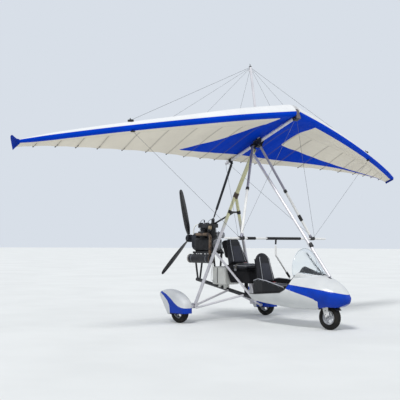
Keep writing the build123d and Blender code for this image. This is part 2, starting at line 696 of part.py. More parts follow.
# Fuel tank on the base tube, moulded with a strap groove
with BuildPart() as fuel_tank:
    tank_centre = point((TANK_FRONT + TANK_BACK) / 2, 0, (TANK_LOW_Z + TANK_TOP_Z) / 2)
    with Locations(Plane(origin=tank_centre)):
        Box(TANK_FRONT - TANK_BACK, 2 * TANK_HALF, TANK_TOP_Z - TANK_LOW_Z)
    fillet(fuel_tank.edges(), TANK_ROUND)
    with BuildPart(mode=Mode.PRIVATE) as strap_band:
        with Locations(Plane(origin=point(TANK_GROOVE_AHEAD, 0, tank_centre.Z))):
            Box(TANK_GROOVE_WIDTH, 3 * TANK_HALF, 2 * (TANK_TOP_Z - TANK_LOW_Z))
            Box(2 * TANK_GROOVE_WIDTH, 2 * (TANK_HALF - TANK_GROOVE_DEPTH),
                TANK_TOP_Z - TANK_LOW_Z - 2 * TANK_GROOVE_DEPTH, mode=Mode.SUBTRACT)
    add(strap_band.part, mode=Mode.SUBTRACT)
    for ahead in TANK_FEET_AHEAD:
        with Locations(Plane(origin=point(ahead, 0, TANK_LOW_Z + 1))):
            Box(TANK_FOOT_LENGTH, TANK_FOOT_WIDTH, TANK_LOW_Z + 1 - base_tube_z(ahead),
                align=(Align.CENTER, Align.CENTER, Align.MAX))
    add(base_tube_room.part, mode=Mode.SUBTRACT)
finish(fuel_tank, "fuel_tank")

# Crankcase
with BuildPart() as crankcase:
    case_centre = point((CRANK_FRONT + CRANK_BACK) / 2, 0, (CRANK_LOW_Z + CRANK_TOP_Z) / 2)
    with Locations(Plane(origin=case_centre)):
        Box(CRANK_FRONT - CRANK_BACK, 2 * CRANK_HALF, CRANK_TOP_Z - CRANK_LOW_Z)
    chamfer(crankcase.edges().filter_by(Axis.X), 26)
finish(crankcase, "crankcase")

# Two finned cylinders in line under one head
HEAD_FRONT = CYLINDERS_AHEAD[0] + FIN_OD / 2
HEAD_BACK = CYLINDERS_AHEAD[1] - FIN_OD / 2
with BuildPart() as cylinders:
    for ahead in CYLINDERS_AHEAD:
        foot = point(ahead, 0, CRANK_TOP_Z)
        rod(foot, point(ahead, 0, CYLINDER_TOP_Z), CYLINDER_OD)
        pitch = (CYLINDER_TOP_Z - CRANK_TOP_Z) / (FIN_COUNT + 1)
        for fin in range(FIN_COUNT):
            low = foot + Vector(0, 0, (fin + 1) * pitch - FIN_PLATE / 2)
            rod(low, low + Vector(0, 0, FIN_PLATE), FIN_OD)
    head_centre = point((HEAD_FRONT + HEAD_BACK) / 2, 0, (CYLINDER_TOP_Z + HEAD_TOP_Z) / 2)
    with BuildSketch(Plane(origin=head_centre - Vector(0, 0, (HEAD_TOP_Z - CYLINDER_TOP_Z) / 2))) as head:
        RectangleRounded(HEAD_FRONT - HEAD_BACK, FIN_OD, 40)
    extrude(head.sketch, amount=HEAD_TOP_Z - CYLINDER_TOP_Z)
    chamfer(cylinders.faces().sort_by(Axis.Z)[-1].edges(), 10)
finish(cylinders, "cylinders")

# Carburettors on the engine's left side, each with an air filter, and the exhaust pipe on its right
with BuildPart() as carburettors:
    for ahead in CYLINDERS_AHEAD:
        root = point(ahead, CYLINDER_OD / 2 - 6, CARB_Z)
        body = root + Vector(0, CARB_REACH, 0)
        rod(root, body, CARB_D)
        rod(body, body + Vector(0, FILTER_LENGTH, 0), FILTER_D)
        rod(body - Vector(0, CARB_REACH * 0.4, CARB_D), body - Vector(0, CARB_REACH * 0.4, -CARB_D), CARB_D * 0.9)
        rod(point(ahead, 0, CRANK_TOP_Z), point(ahead, 0, CYLINDER_TOP_Z), FIN_OD + 2 * SEAT_GAP, Mode.SUBTRACT)
finish(carburettors, "carburettors")

with BuildPart() as exhaust_pipe:
    for ahead in CYLINDERS_AHEAD:
        rod(point(ahead, -CYLINDER_OD / 2, EXHAUST_Z), point(ahead, -EXHAUST_SPREAD, EXHAUST_Z), EXHAUST_D)
        rod(point(ahead, 0, CRANK_TOP_Z), point(ahead, 0, CYLINDER_TOP_Z), FIN_OD + 2 * SEAT_GAP, Mode.SUBTRACT)
    with BuildLine() as pipe:
        FilletPolyline(point(CYLINDERS_AHEAD[1], -EXHAUST_SPREAD, EXHAUST_Z),
                       point(EXHAUST_FRONT, -EXHAUST_SPREAD, EXHAUST_Z),
                       point(EXHAUST_FRONT, MUFFLER_SIDE, MUFFLER_Z), radius=EXHAUST_BEND)
    with BuildSketch(Plane(origin=pipe.line @ 0, z_dir=pipe.line % 0)) as bore:
        Circle(EXHAUST_D / 2)
    sweep(bore.sketch, path=pipe.line)
    rod(point(MUFFLER_BACK, MUFFLER_SIDE, MUFFLER_Z), point(MUFFLER_FRONT, MUFFLER_SIDE, MUFFLER_Z),
        MUFFLER_D + 2 * SEAT_GAP, Mode.SUBTRACT)
finish(exhaust_pipe, "exhaust_pipe")

# Gearbox behind the crankcase, with the propeller's flange and stub shaft
GEARBOX_BACK = CRANK_BACK - GEARBOX_DEPTH
FLANGE_BACK = -HUB_FRONT_BEHIND
PROP_AXIS = point(FLANGE_BACK, 0, PROP_Z)
with BuildPart() as gearbox:
    low_gear_z = (CRANK_LOW_Z + CRANK_TOP_Z) / 2
    with BuildSketch(Plane(origin=point(CRANK_BACK, 0, 0), x_dir=(0, 1, 0), z_dir=(1, 0, 0))) as cover:
        with Locations((0, (PROP_Z + low_gear_z) / 2)):
            SlotCenterToCenter(PROP_Z - low_gear_z, 2 * GEARBOX_RADIUS, rotation=90)
    extrude(cover.sketch, amount=-GEARBOX_DEPTH)
    rod(point(GEARBOX_BACK, 0, PROP_Z), point(FLANGE_BACK + PROP_FLANGE_DEPTH, 0, PROP_Z), PROP_SHAFT_D)
    rod(point(FLANGE_BACK + PROP_FLANGE_DEPTH, 0, PROP_Z), point(FLANGE_BACK + SEAT_GAP, 0, PROP_Z),
        PROP_FLANGE_OD)
    rod(point(FLANGE_BACK + SEAT_GAP, 0, PROP_Z), point(-HUB_BACK_BEHIND + PROP_STUB_D, 0, PROP_Z), PROP_STUB_D)
finish(gearbox, "gearbox")

# Engine mount: two rails on four posts from the base tube
RAIL_Z = CRANK_LOW_Z - RAIL_HEIGHT / 2
with BuildPart() as engine_mount:
    rail_front = max(POSTS_AHEAD) + POST_D
    rail_back = min(POSTS_AHEAD) - POST_D
    for side in (-1, 1):
        with Locations(Plane(origin=point((rail_front + rail_back) / 2, side * RAIL_SPREAD, RAIL_Z))):
            Box(rail_front - rail_back, RAIL_WIDTH, RAIL_HEIGHT)
        for ahead in POSTS_AHEAD:
            rod(point(ahead, side * BASE_TUBE_D * 0.35, base_tube_z(ahead)), point(ahead, side * RAIL_SPREAD, RAIL_Z),
                POST_D)
    add(base_tube_room.part, mode=Mode.SUBTRACT)
finish(engine_mount, "engine_mount")

# Muffler under the engine's right side, hung from the rail
with BuildPart() as muffler:
    rod(point(MUFFLER_BACK, MUFFLER_SIDE, MUFFLER_Z), point(MUFFLER_FRONT, MUFFLER_SIDE, MUFFLER_Z), MUFFLER_D)
    chamfer(muffler.edges().filter_by(GeomType.CIRCLE), 16)
    for ahead in CYLINDERS_AHEAD:
        rod(point(ahead, MUFFLER_SIDE, MUFFLER_Z), point(ahead, -RAIL_SPREAD, RAIL_Z), HANGER_D)
    with Locations(Plane(origin=point(0, -RAIL_SPREAD, RAIL_Z))):
        Box(4 * HUB_BACK_BEHIND, RAIL_WIDTH + 2 * SEAT_GAP, RAIL_HEIGHT + 2 * SEAT_GAP, mode=Mode.SUBTRACT)
finish(muffler, "muffler")

# Top strut from a cross tube between the legs back to a bracket on the cylinder head, with the rear
# strut's pin across the bracket
ROD_EYE = point(ROD_EYE_AHEAD, 0, ROD_EYE_Z)
EYE_CHEEK_INNER = EYE_HALF + SEAT_GAP
EYE_CHEEK = 6.0
BRACKET_FRONT = 56.0
STRUT_LANDING = 38.0
SHOE_LENGTH = 140.0
SHOE_DEPTH = 60.0
BRACKET_BACK = 36.0
BRACKET_PLATE = 8.0
CROSS_SHARE = (LEG_TOP.Z - TOP_STRUT_Z) / (LEG_TOP.Z - BLOCK_Z)
with BuildPart() as top_strut:
    cross_right = on_leg(-1, CROSS_SHARE)
    cross_left = on_leg(1, CROSS_SHARE)
    rod(cross_right, cross_left, TOP_STRUT_D)
    rod(along(cross_right, cross_left, 0.5), point(ROD_EYE_AHEAD + STRUT_LANDING, 0, HEAD_TOP_Z), TOP_STRUT_D)
    with Locations(Plane(origin=point(ROD_EYE_AHEAD + STRUT_LANDING, 0, HEAD_TOP_Z))):
        Box(SHOE_LENGTH, FIN_OD, SHOE_DEPTH, align=(Align.CENTER, Align.CENTER, Align.MAX), mode=Mode.SUBTRACT)
    with Locations(Plane(origin=point(ROD_EYE_AHEAD + (BRACKET_FRONT - BRACKET_BACK) / 2, 0, HEAD_TOP_Z))):
        Box(BRACKET_FRONT + BRACKET_BACK, 2 * (EYE_CHEEK_INNER + EYE_CHEEK) + 4, BRACKET_PLATE,
            align=(Align.CENTER, Align.CENTER, Align.MIN))
    for side in (-1, 1):
        leg_bar(side, SEAT_GAP, Mode.SUBTRACT)
    for side in (-1, 1):
        with Locations(Plane(origin=point(ROD_EYE_AHEAD, side * (EYE_CHEEK_INNER + EYE_CHEEK / 2), HEAD_TOP_Z))):
            Box(40, EYE_CHEEK, ROD_EYE_Z - HEAD_TOP_Z + 12, align=(Align.CENTER, Align.CENTER, Align.MIN))
    cross_rod(ROD_EYE, EYE_CHEEK_INNER + EYE_CHEEK, PIN_D)
finish(top_strut, "top_strut")


def spat_body(inset, let_down):
    """Spat's solid form on the middle plane in the active part, drawn in by an inset and let down at its foot."""
    slope = (SPAT_LOW_BACK[0] - SPAT_TAIL[0]) / (SPAT_TAIL[1] - SPAT_LOW_BACK[1])
    low_front = (SPAT_LOW_FRONT[0], SPAT_LOW_FRONT[1] - let_down)
    low_back = (SPAT_LOW_BACK[0] + slope * let_down, SPAT_LOW_BACK[1] - let_down)
    with BuildSketch(Plane(origin=point(0, 0, 0), x_dir=(1, 0, 0), z_dir=(0, -1, 0))) as outline:
        with BuildLine():
            ThreePointArc(SPAT_TAIL, SPAT_CROWN, SPAT_BROW)
            Line(SPAT_BROW, low_front)
            Line(low_front, low_back)
            Line(low_back, SPAT_TAIL)
        make_face()
        if inset:
            offset(amount=-inset, kind=Kind.INTERSECTION)
    spat = extrude(outline.sketch, amount=SPAT_HALF - inset, both=True)
    chamfer(spat.faces().filter_by(Axis.Y).edges().sort_by(Axis.Z)[2:], SPAT_ROUND)


# Form of the spat's inside, let down through its open foot
with BuildPart() as spat_core:
    spat_body(SPAT_WALL, 4 * SPAT_WALL)

# Spats over the main wheels, open below
with BuildPart() as spat_shell:
    spat_body(0, 0)
    add(spat_core.part, mode=Mode.SUBTRACT)

with BuildPart() as wheel_spats:
    for side in (-1, 1):
        with Locations((0, side * HALF_TRACK, 0)):
            add(spat_shell.part)
        rod(point(0, side * KNUCKLE_SPREAD, WHEEL_Z), point(0, side * HALF_TRACK, WHEEL_Z),
            AXLE_D + 2 * SEAT_GAP, Mode.SUBTRACT)
finish(wheel_spats, "wheel_spats")

# Rest for the base bar: leaning tube on the tub's left wall, with a strap at its top
with BuildPart() as bar_rest:
    rest_side = row_at(POD, REST_AHEAD)[4] - POD_WALL - TUB_GAP + REST_D / 2 + SEAT_GAP
    rest_knee = point(REST_AHEAD, rest_side, REST_KNEE_Z)
    rest_top = point(*REST_TOP)
    rod(point(REST_AHEAD, rest_side, REST_STEP_Z), rest_knee, REST_D)
    with Locations(Plane(origin=rest_knee)):
        Sphere(REST_D / 2)
    rod(rest_knee, rest_top, REST_D)
    with Locations(Plane(origin=rest_top)):
        Box(REST_STRAP_THICKNESS, REST_STRAP_WIDTH, REST_STRAP_TOP_Z - REST_TOP[2],
            align=(Align.CENTER, Align.CENTER, Align.MIN))
finish(bar_rest, "bar_rest")

# Hang block: ring on the keel with a lug down to the hang bolt
with BuildPart() as hang_block:
    half_ring = HANG_RING_LENGTH / 2
    rod(wing_point(-half_ring, 0, KEEL_Z), wing_point(half_ring, 0, KEEL_Z), HANG_RING_OD)
    with BuildSketch(Plane(origin=HANG, x_dir=WING_X, z_dir=(0, -1, 0))) as lug:
        Circle(LUG_HALF + 3)
        with Locations((0, KEEL_Z / 2)):
            Rectangle(2 * LUG_HALF + 6, KEEL_Z)
    extrude(lug.sketch, amount=LUG_HALF, both=True)
    rod(wing_point(-half_ring, 0, KEEL_Z), wing_point(half_ring, 0, KEEL_Z), KEEL_OD + 2 * RUN_GAP, Mode.SUBTRACT)
    cross_rod(HANG, LUG_HALF, BOLT_D + 2 * RUN_GAP, Mode.SUBTRACT)
finish(hang_block, "hang_block")

# Clamp on the keel's tail that carries the rear strut's upper pin
STRUT_PIN = wing_point(CLAMP_AHEAD, 0, KEEL_Z - CLAMP_DROP)
with BuildPart() as keel_clamp:
    clamp_back = wing_point(CLAMP_AHEAD - CLAMP_LENGTH / 2, 0, KEEL_Z)
    clamp_front = wing_point(CLAMP_AHEAD + CLAMP_LENGTH / 2, 0, KEEL_Z)
    rod(clamp_back, clamp_front, KEEL_OD + 16)
    for side in (-1, 1):
        with Locations(wing_plane(CLAMP_AHEAD, side * (EYE_CHEEK_INNER + EYE_CHEEK / 2), KEEL_Z - CLAMP_DROP - 10)):
            Box(30, EYE_CHEEK, CLAMP_DROP + 10, align=(Align.CENTER, Align.CENTER, Align.MIN))
    cross_rod(STRUT_PIN, EYE_CHEEK_INNER + EYE_CHEEK, PIN_D)
    rod(clamp_back, clamp_front, KEEL_OD + 2 * RUN_GAP, Mode.SUBTRACT)
finish(keel_clamp, "keel_clamp")

# Rear strut: barrel under the keel, rod up into it from the engine's top
STRUT_RUN = (ROD_EYE - STRUT_PIN).normalized()
BARREL_START = 22.0
with BuildPart() as strut_barrel:
    rod(STRUT_PIN + STRUT_RUN * BARREL_START, STRUT_PIN + STRUT_RUN * BARREL_LENGTH, BARREL_D)
    cross_rod(STRUT_PIN, EYE_HALF, EYE_OD)
    rod(STRUT_PIN, STRUT_PIN + STRUT_RUN * (BARREL_START + 10), 2 * EYE_HALF - 4)
    cross_rod(STRUT_PIN, EYE_HALF, PIN_D + 2 * RUN_GAP, Mode.SUBTRACT)
    rod(STRUT_PIN + STRUT_RUN * (BARREL_START + 60), STRUT_PIN + STRUT_RUN * (BARREL_LENGTH + 1), BARREL_BORE_D,
        Mode.SUBTRACT)
finish(strut_barrel, "strut_barrel")

with BuildPart() as strut_rod:
    rod_foot = ROD_EYE - STRUT_RUN * ROD_EYE_OD
    rod(STRUT_PIN + STRUT_RUN * (BARREL_LENGTH - ROD_IN_BARREL), rod_foot, ROD_D)
    cross_rod(ROD_EYE, EYE_HALF - SEAT_GAP, ROD_EYE_OD)
    rod(rod_foot, ROD_EYE, 2 * EYE_HALF - 5)
    cross_rod(ROD_EYE, EYE_HALF, ROD_EYE_BORE, Mode.SUBTRACT)
finish(strut_rod, "strut_rod")

# Keel tube
with BuildPart() as keel:
    rod(wing_point(KEEL_TAIL, 0, KEEL_Z), wing_point(KEEL_NOSE, 0, KEEL_Z), KEEL_OD)
finish(keel, "keel")

# Nose bracket in front of the keel
NOSE_BLOCK_HALF = 46.0
NOTCH_HEIGHT = 500.0
NOSE_BLOCK_LOW = 22.0
NOSE_BLOCK_HIGH = 186.0
with BuildPart() as nose_bracket:
    with Locations(wing_plane((KEEL_NOSE + WING_NOSE) / 2 + SEAT_GAP / 2, 0, (NOSE_BLOCK_LOW + NOSE_BLOCK_HIGH) / 2)):
        Box(WING_NOSE - KEEL_NOSE - SEAT_GAP, 2 * NOSE_BLOCK_HALF, NOSE_BLOCK_HIGH - NOSE_BLOCK_LOW)
    chamfer(nose_bracket.edges(), 8)
finish(nose_bracket, "nose_bracket")

# Kingpost with a cross fitting near its top
KING_FOOT = wing_point(KINGPOST_FOOT, 0, KEEL_Z)
KING_TOP = wing_point(KINGPOST_TOP[0], 0, KINGPOST_TOP[1])
with BuildPart() as kingpost:
    rod(KING_FOOT, KING_TOP, KINGPOST_D)
    cross_rod(along(KING_FOOT, KING_TOP, KINGPOST_CROSS), 60, 14)
    rod(wing_point(KEEL_TAIL, 0, KEEL_Z), wing_point(KEEL_NOSE, 0, KEEL_Z), KEEL_OD + 2 * SEAT_GAP, Mode.SUBTRACT)
finish(kingpost, "kingpost")

# Share of the chord and share of the height of each corner of a sail section, above then below the chord
UPPER = ((0.015, 0.44), (0.06, 0.79), (0.16, 1.0), (0.36, 0.98), (0.66, 0.58))
LOWER = ((0.80, 0.045), (0.55, 0.14), (0.28, 0.115))
LOWER_REACH = 1.9


def sail_section(rib):
    """Closed corners of one sail section, as x and z in the wing's frame."""
    _, lead_x, lead_z, trail_x, trail_z, nose, rise = rib
    front = lead_x + nose
    chord = front - trail_x

    def chord_z(share):
        return lead_z + (trail_z - lead_z) * share

    upper = [(front - chord * share, chord_z(share) + rise * height) for share, height in UPPER]
    lower_front = (lead_x + nose * 0.45, lead_z - nose * 0.8)
    lower_back = (lead_x - nose * LOWER_REACH, lead_z - nose * 0.55 if nose > 30 else lead_z - nose * 0.5)
    lower = [(front - chord * share, chord_z(share) - TRAILING_THICKNESS / 2 + rise * height)
             for share, height in LOWER]
    return [(front, lead_z), *upper, (trail_x, trail_z + TRAILING_THICKNESS / 2),
            (trail_x, trail_z - TRAILING_THICKNESS / 2), *lower, lower_back, lower_front]


# Sail: both halves in one skin, with a notch for the nose bracket, a hole for the kingpost and a
# channel along the keel that leaves room for the rings on it
with BuildPart() as sail:
    for side in (-1, 1):
        faces = []
        for rib in RIBS:
            corners = [wing_point(x, side * rib[0] * HALF_SPAN, z) for x, z in sail_section(rib)]
            faces.append(Face(Wire.make_polygon(corners, close=True)))
        loft(faces, ruled=True)
    with Locations(wing_plane(WING_NOSE, 0, (NOSE_BLOCK_LOW + NOSE_BLOCK_HIGH) / 2)):
        Box(2 * (WING_NOSE - KEEL_NOSE + SEAT_GAP), 2 * (NOSE_BLOCK_HALF + SEAT_GAP), NOTCH_HEIGHT,
            mode=Mode.SUBTRACT)
    rod(KING_FOOT, KING_TOP, KINGPOST_D + 2 * SEAT_GAP, Mode.SUBTRACT)
    with Locations(wing_plane(KEEL_TAIL, 0, KEEL_Z)):
        Box(WING_NOSE - KEEL_TAIL, KEEL_CHANNEL, KEEL_CHANNEL, align=(Align.MIN, Align.CENTER, Align.CENTER),
            mode=Mode.SUBTRACT)
finish(sail, "sail")

# Upright fins on the wing tips
TIP = RIBS[-1]
with BuildPart() as tip_fins:
    for side in (-1, 1):
        with Locations(wing_plane(TIP[3], side * (HALF_SPAN + SEAT_GAP + FIN_THICKNESS / 2), TIP[4] - 40)):
            Box(FIN_LENGTH + 60, FIN_THICKNESS, FIN_HEIGHT, align=(Align.MIN, Align.CENTER, Align.MIN))
    chamfer(tip_fins.edges().filter_by(Axis.Y).group_by(Axis.Z)[-1], 60)
finish(tip_fins, "tip_fins")

# Apex bracket that carries the control frame's uprights
with BuildPart() as apex_bracket:
    with Locations(wing_plane(APEX_AHEAD, 0, KEEL_Z - APEX_DROP)):
        Box(APEX_LENGTH, APEX_WIDTH, APEX_PLATE)
    rod(wing_point(APEX_AHEAD - APEX_LENGTH / 2, 0, KEEL_Z), wing_point(APEX_AHEAD + APEX_LENGTH / 2, 0, KEEL_Z),
        KEEL_OD + 2 * APEX_WALL)
    rod(wing_point(KEEL_TAIL, 0, KEEL_Z), wing_point(KEEL_NOSE, 0, KEEL_Z), KEEL_OD + 2 * SEAT_GAP, Mode.SUBTRACT)
finish(apex_bracket, "apex_bracket")


def corner(side):
    """Corner of the control frame on one side."""
    return wing_point(BAR_AHEAD, side * CORNER_SPREAD, BAR_Z)


# Corner fittings on the base bar
with BuildPart() as corner_fittings:
    for side in (-1, 1):
        cross_rod(corner(side), CORNER_LENGTH / 2, CORNER_OD)
        cross_rod(corner(side), CORNER_LENGTH, BAR_D + 2 * SEAT_GAP, Mode.SUBTRACT)
finish(corner_fittings, "corner_fittings")

# Control frame uprights
with BuildPart() as uprights:
    for side in (-1, 1):
        rod(wing_point(APEX_AHEAD, side * APEX_SPREAD, KEEL_Z - APEX_DROP), corner(side), UPRIGHT_D)
        cross_rod(corner(side), CORNER_LENGTH, CORNER_OD + 2 * SEAT_GAP, Mode.SUBTRACT)
    with Locations(wing_plane(APEX_AHEAD, 0, KEEL_Z - APEX_DROP - APEX_PLATE / 2 - SEAT_GAP)):
        Box(APEX_LENGTH * 3, APEX_WIDTH * 2, APEX_DROP * 2, align=(Align.CENTER, Align.CENTER, Align.MIN),
            mode=Mode.SUBTRACT)
finish(uprights, "uprights")

# Base bar and its grips
BAR_MIDDLE = wing_point(BAR_AHEAD, 0, BAR_Z)
with BuildPart() as base_bar:
    cross_rod(BAR_MIDDLE, BAR_HALF, BAR_D)
finish(base_bar, "base_bar")

with BuildPart() as bar_grips:
    for near, far in GRIPS:
        rod(BAR_MIDDLE + Vector(0, near, 0), BAR_MIDDLE + Vector(0, far, 0), GRIP_OD)
    cross_rod(BAR_MIDDLE, BAR_HALF, BAR_D + 2 * SEAT_GAP, Mode.SUBTRACT)
finish(bar_grips, "bar_grips")

# Stays of the wing
SIDE_RIB = tuple(a + (b - a) * (SIDE_STAY_SHARE - RIBS[2][0]) / (RIBS[3][0] - RIBS[2][0])
                 for a, b in zip(RIBS[2], RIBS[3]))
with BuildPart() as stays:
    for side in (-1, 1):
        fitting = corner(side) + Vector(0, side * (CORNER_LENGTH / 2 + TANG_OFFSET), BAR_D / 2 + STAY_D * STAY_REST)
        under_edge = wing_point(SIDE_RIB[1], side * SIDE_STAY_SHARE * HALF_SPAN, SIDE_RIB[2] - SIDE_RIB[5] - 4)
        over_edge = wing_point(SIDE_RIB[1], side * SIDE_STAY_SHARE * HALF_SPAN, SIDE_RIB[2] + SIDE_RIB[6] + 4)
        nose_end = wing_point(KEEL_NOSE + 20, side * (NOSE_BLOCK_HALF - 20), NOSE_BLOCK_LOW - STAY_D * STAY_REST)
        tail_end = wing_point(KEEL_TAIL + 20, side * (KEEL_OD / 2 + STAY_D * STAY_REST), KEEL_Z)
        rod(fitting, under_edge, STAY_D)
        rod(fitting + Vector(TANG_OFFSET, 0, 0), nose_end, STAY_D)
        rod(fitting - Vector(TANG_OFFSET, 0, 0), tail_end, STAY_D)
        rod(KING_TOP + Vector(0, side * (KINGPOST_D + STAY_D * 0.75) / 2, -TANG_OFFSET), over_edge, STAY_D)
finish(stays, "stays")

# Propeller hub, bored for the stub shaft
HUB_FRONT = point(-HUB_FRONT_BEHIND, 0, PROP_Z)
HUB_BACK = point(-HUB_BACK_BEHIND, 0, PROP_Z)
with BuildPart() as prop_hub:
    rod(HUB_FRONT, HUB_BACK, 2 * HUB_RADIUS)
    fillet(prop_hub.faces().sort_by(Axis.X)[0].edges(), 14)
    rod(HUB_FRONT, HUB_BACK + Vector(PROP_STUB_D - 4, 0, 0), PROP_STUB_D + 2 * RUN_GAP, Mode.SUBTRACT)
finish(prop_hub, "prop_hub")

# Propeller blades
HUB_MIDDLE = (HUB_FRONT + HUB_BACK) * 0.5
with BuildPart() as prop_blades:
    for blade in range(PROP_BLADES):
        turn = radians(PROP_TURN + blade * 360 / PROP_BLADES)
        reach = Vector(0, -sin(turn), cos(turn))
        across = Vector(0, cos(turn), sin(turn))
        faces = []
        for share, chord, pitch in BLADE_SECTIONS:
            chord_dir = across * cos(radians(pitch)) + Vector(1, 0, 0) * sin(radians(pitch))
            with BuildSketch(Plane(origin=HUB_MIDDLE + reach * (share * PROP_RADIUS), x_dir=chord_dir,
                                   z_dir=reach)) as section:
                with BuildLine():
                    half_thick = chord * BLADE_THICKNESS / 2
                    ThreePointArc((-chord / 2, 0), (0, half_thick), (chord / 2, 0))
                    ThreePointArc((chord / 2, 0), (0, -half_thick), (-chord / 2, 0))
                make_face()
            faces.append(section.sketch.face())
        loft(faces, ruled=True)
    rod(HUB_FRONT, HUB_BACK, 2 * (HUB_RADIUS + SEAT_GAP), Mode.SUBTRACT)
finish(prop_blades, "prop_blades")

# Nose fork: stem in the steering head, crown, two legs and the wheel's axle
NOSE_WHEEL = point(WHEELBASE, 0, WHEEL_Z)
CROWN_TOP = HEAD_LOW - HEAD_AXIS * SWING_GAP
with BuildPart() as nose_fork:
    rod(CROWN_TOP, HEAD_HIGH, STEM_D)
    with Locations(aim(CROWN_TOP - HEAD_AXIS * CROWN_THICKNESS, CROWN_TOP)):
        Box(FORK_LEG_GAP + 2 * FORK_LEG_THICKNESS, 60, CROWN_THICKNESS, align=(Align.CENTER, Align.CENTER, Align.MIN))
    for side in (-1, 1):
        leg_side = side * (FORK_LEG_GAP + FORK_LEG_THICKNESS) / 2
        low = NOSE_WHEEL + Vector(0, leg_side, 0)
        high = CROWN_TOP - HEAD_AXIS * CROWN_THICKNESS + Vector(0, leg_side, 0)
        with Locations(aim(low, high)):
            Box(FORK_LEG_THICKNESS, FORK_LEG_DEPTH, (high - low).length,
                align=(Align.CENTER, Align.CENTER, Align.MIN))
        cross_rod(low, FORK_LEG_THICKNESS / 2, FORK_LEG_DEPTH)
    cross_rod(NOSE_WHEEL, FORK_LEG_GAP / 2 + FORK_LEG_THICKNESS + TOW_PIN_LENGTH, AXLE_D)
finish(nose_fork, "nose_fork")

# Mudguard over the nose wheel, between the fork's legs
GUARD_RADIUS = TYRE_OD / 2 + MUDGUARD_GAP
GUARD_HALF = TYRE_WIDTH / 2 + SWING_GAP
with BuildPart() as nose_mudguard:
    cross_rod(NOSE_WHEEL, GUARD_HALF, 2 * (GUARD_RADIUS + MUDGUARD_THICKNESS))
    cross_rod(NOSE_WHEEL, GUARD_HALF, 2 * GUARD_RADIUS, Mode.SUBTRACT)
    with Locations(Plane(origin=NOSE_WHEEL)):
        Box(4 * GUARD_RADIUS, 4 * GUARD_HALF, 2 * GUARD_RADIUS, align=(Align.CENTER, Align.CENTER, Align.MAX),
            mode=Mode.SUBTRACT)
    with Locations(Plane(origin=NOSE_WHEEL + Vector(0, 0, GUARD_RADIUS * 0.55))):
        Box(4 * GUARD_RADIUS, 4 * GUARD_HALF, 2 * GUARD_RADIUS, align=(Align.CENTER, Align.CENTER, Align.MAX),
            mode=Mode.SUBTRACT)
    with Locations(aim(NOSE_WHEEL + HEAD_AXIS * (GUARD_RADIUS + 0.5), HEAD_HIGH)):
        Box(FORK_LEG_GAP - 2 * SEAT_GAP, MUDGUARD_TAB, MUDGUARD_THICKNESS + 2,
            align=(Align.CENTER, Align.CENTER, Align.MIN))
finish(nose_mudguard, "nose_mudguard")


def wheel_plane(centre):
    """Plane of a wheel's section: x outwards along the radius, y along the axle."""
    return Plane(origin=centre, x_dir=(0, 0, 1), z_dir=(1, 0, 0))


WHEELS = (
    (NOSE_WHEEL, "nose"),
    (point(0, -HALF_TRACK, WHEEL_Z), "right"),
    (point(0, HALF_TRACK, WHEEL_Z), "left"),
)
TYRE_BEAD = RIM_OD / 2 + SEAT_GAP
for centre, name in WHEELS:
    with BuildPart() as tyre:
        with BuildSketch(wheel_plane(centre)) as profile:
            flank = [(TYRE_BEAD + high * (TYRE_OD / 2 - TYRE_BEAD), wide * TYRE_WIDTH / 2)
                     for high, wide in TYRE_PROFILE]
            Polygon(*flank, *[(radius, -wide) for radius, wide in reversed(flank)], align=None)
        revolve(profile.sketch, axis=Axis(centre, (0, 1, 0)))
    finish(tyre, f"{name}_tyre")
    with BuildPart() as rim:
        cross_rod(centre, RIM_WIDTH / 2 - RIM_WALL, RIM_OD)
        cross_rod(centre, RIM_WIDTH / 2, RIM_OD - 2 * RIM_WALL, Mode.SUBTRACT)
        cross_rod(centre, HUB_LENGTH / 2, HUB_OD)
        for spoke in range(SPOKE_COUNT):
            turn = radians(90 + spoke * 360 / SPOKE_COUNT)
            reach = Vector(cos(turn), 0, sin(turn))
            with Locations(aim(centre, centre + reach)):
                Box(SPOKE_THICKNESS, SPOKE_WIDTH, RIM_OD / 2 - RIM_WALL / 2,
                    align=(Align.CENTER, Align.CENTER, Align.MIN))
        cross_rod(centre, HUB_LENGTH, AXLE_D + 2 * RUN_GAP, Mode.SUBTRACT)
    finish(rim, f"{name}_rim")
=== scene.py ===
"""Dressing of a two-seat flex-wing microlight: cloth, finishes, upholstery and small fittings.

Sizes are metres in the row frame: +X forward, +Y to the pilot's left, +Z up, with the ground at Z = 0.
Places called ahead are measured forward from the main wheels' axle line.
"""
import logging
import math
from dataclasses import dataclass, field
from enum import Enum

import bmesh
import bpy
import numpy as np
from mathutils import Matrix, Vector
from mathutils.bvhtree import BVHTree


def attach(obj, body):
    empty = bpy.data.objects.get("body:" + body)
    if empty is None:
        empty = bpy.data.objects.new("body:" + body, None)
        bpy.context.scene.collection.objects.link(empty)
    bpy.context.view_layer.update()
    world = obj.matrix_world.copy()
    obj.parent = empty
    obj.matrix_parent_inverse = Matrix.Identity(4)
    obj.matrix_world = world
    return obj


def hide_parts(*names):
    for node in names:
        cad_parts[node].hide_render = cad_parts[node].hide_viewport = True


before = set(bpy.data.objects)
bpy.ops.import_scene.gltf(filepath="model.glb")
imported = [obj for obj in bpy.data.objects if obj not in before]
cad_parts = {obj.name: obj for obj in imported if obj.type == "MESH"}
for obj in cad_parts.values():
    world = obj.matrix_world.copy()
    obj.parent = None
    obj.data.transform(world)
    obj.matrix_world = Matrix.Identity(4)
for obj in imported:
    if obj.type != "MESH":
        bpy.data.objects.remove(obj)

logging.basicConfig(level=logging.INFO, format="%(message)s")
LOG = logging.getLogger("microlight")

Array = np.ndarray
Colour = tuple[int, int, int]
Line = tuple[tuple[float, float], ...]
Table = tuple[tuple[float, ...], ...]
Piece = bpy.types.Object
Socket = bpy.types.NodeSocket
AXLE_X = -0.7675
RIGHT, LEFT = SIDES = (-1, 1)
FILL_FRAMES = 20
X_AXIS, Y_AXIS, Z_AXIS = np.eye(3)


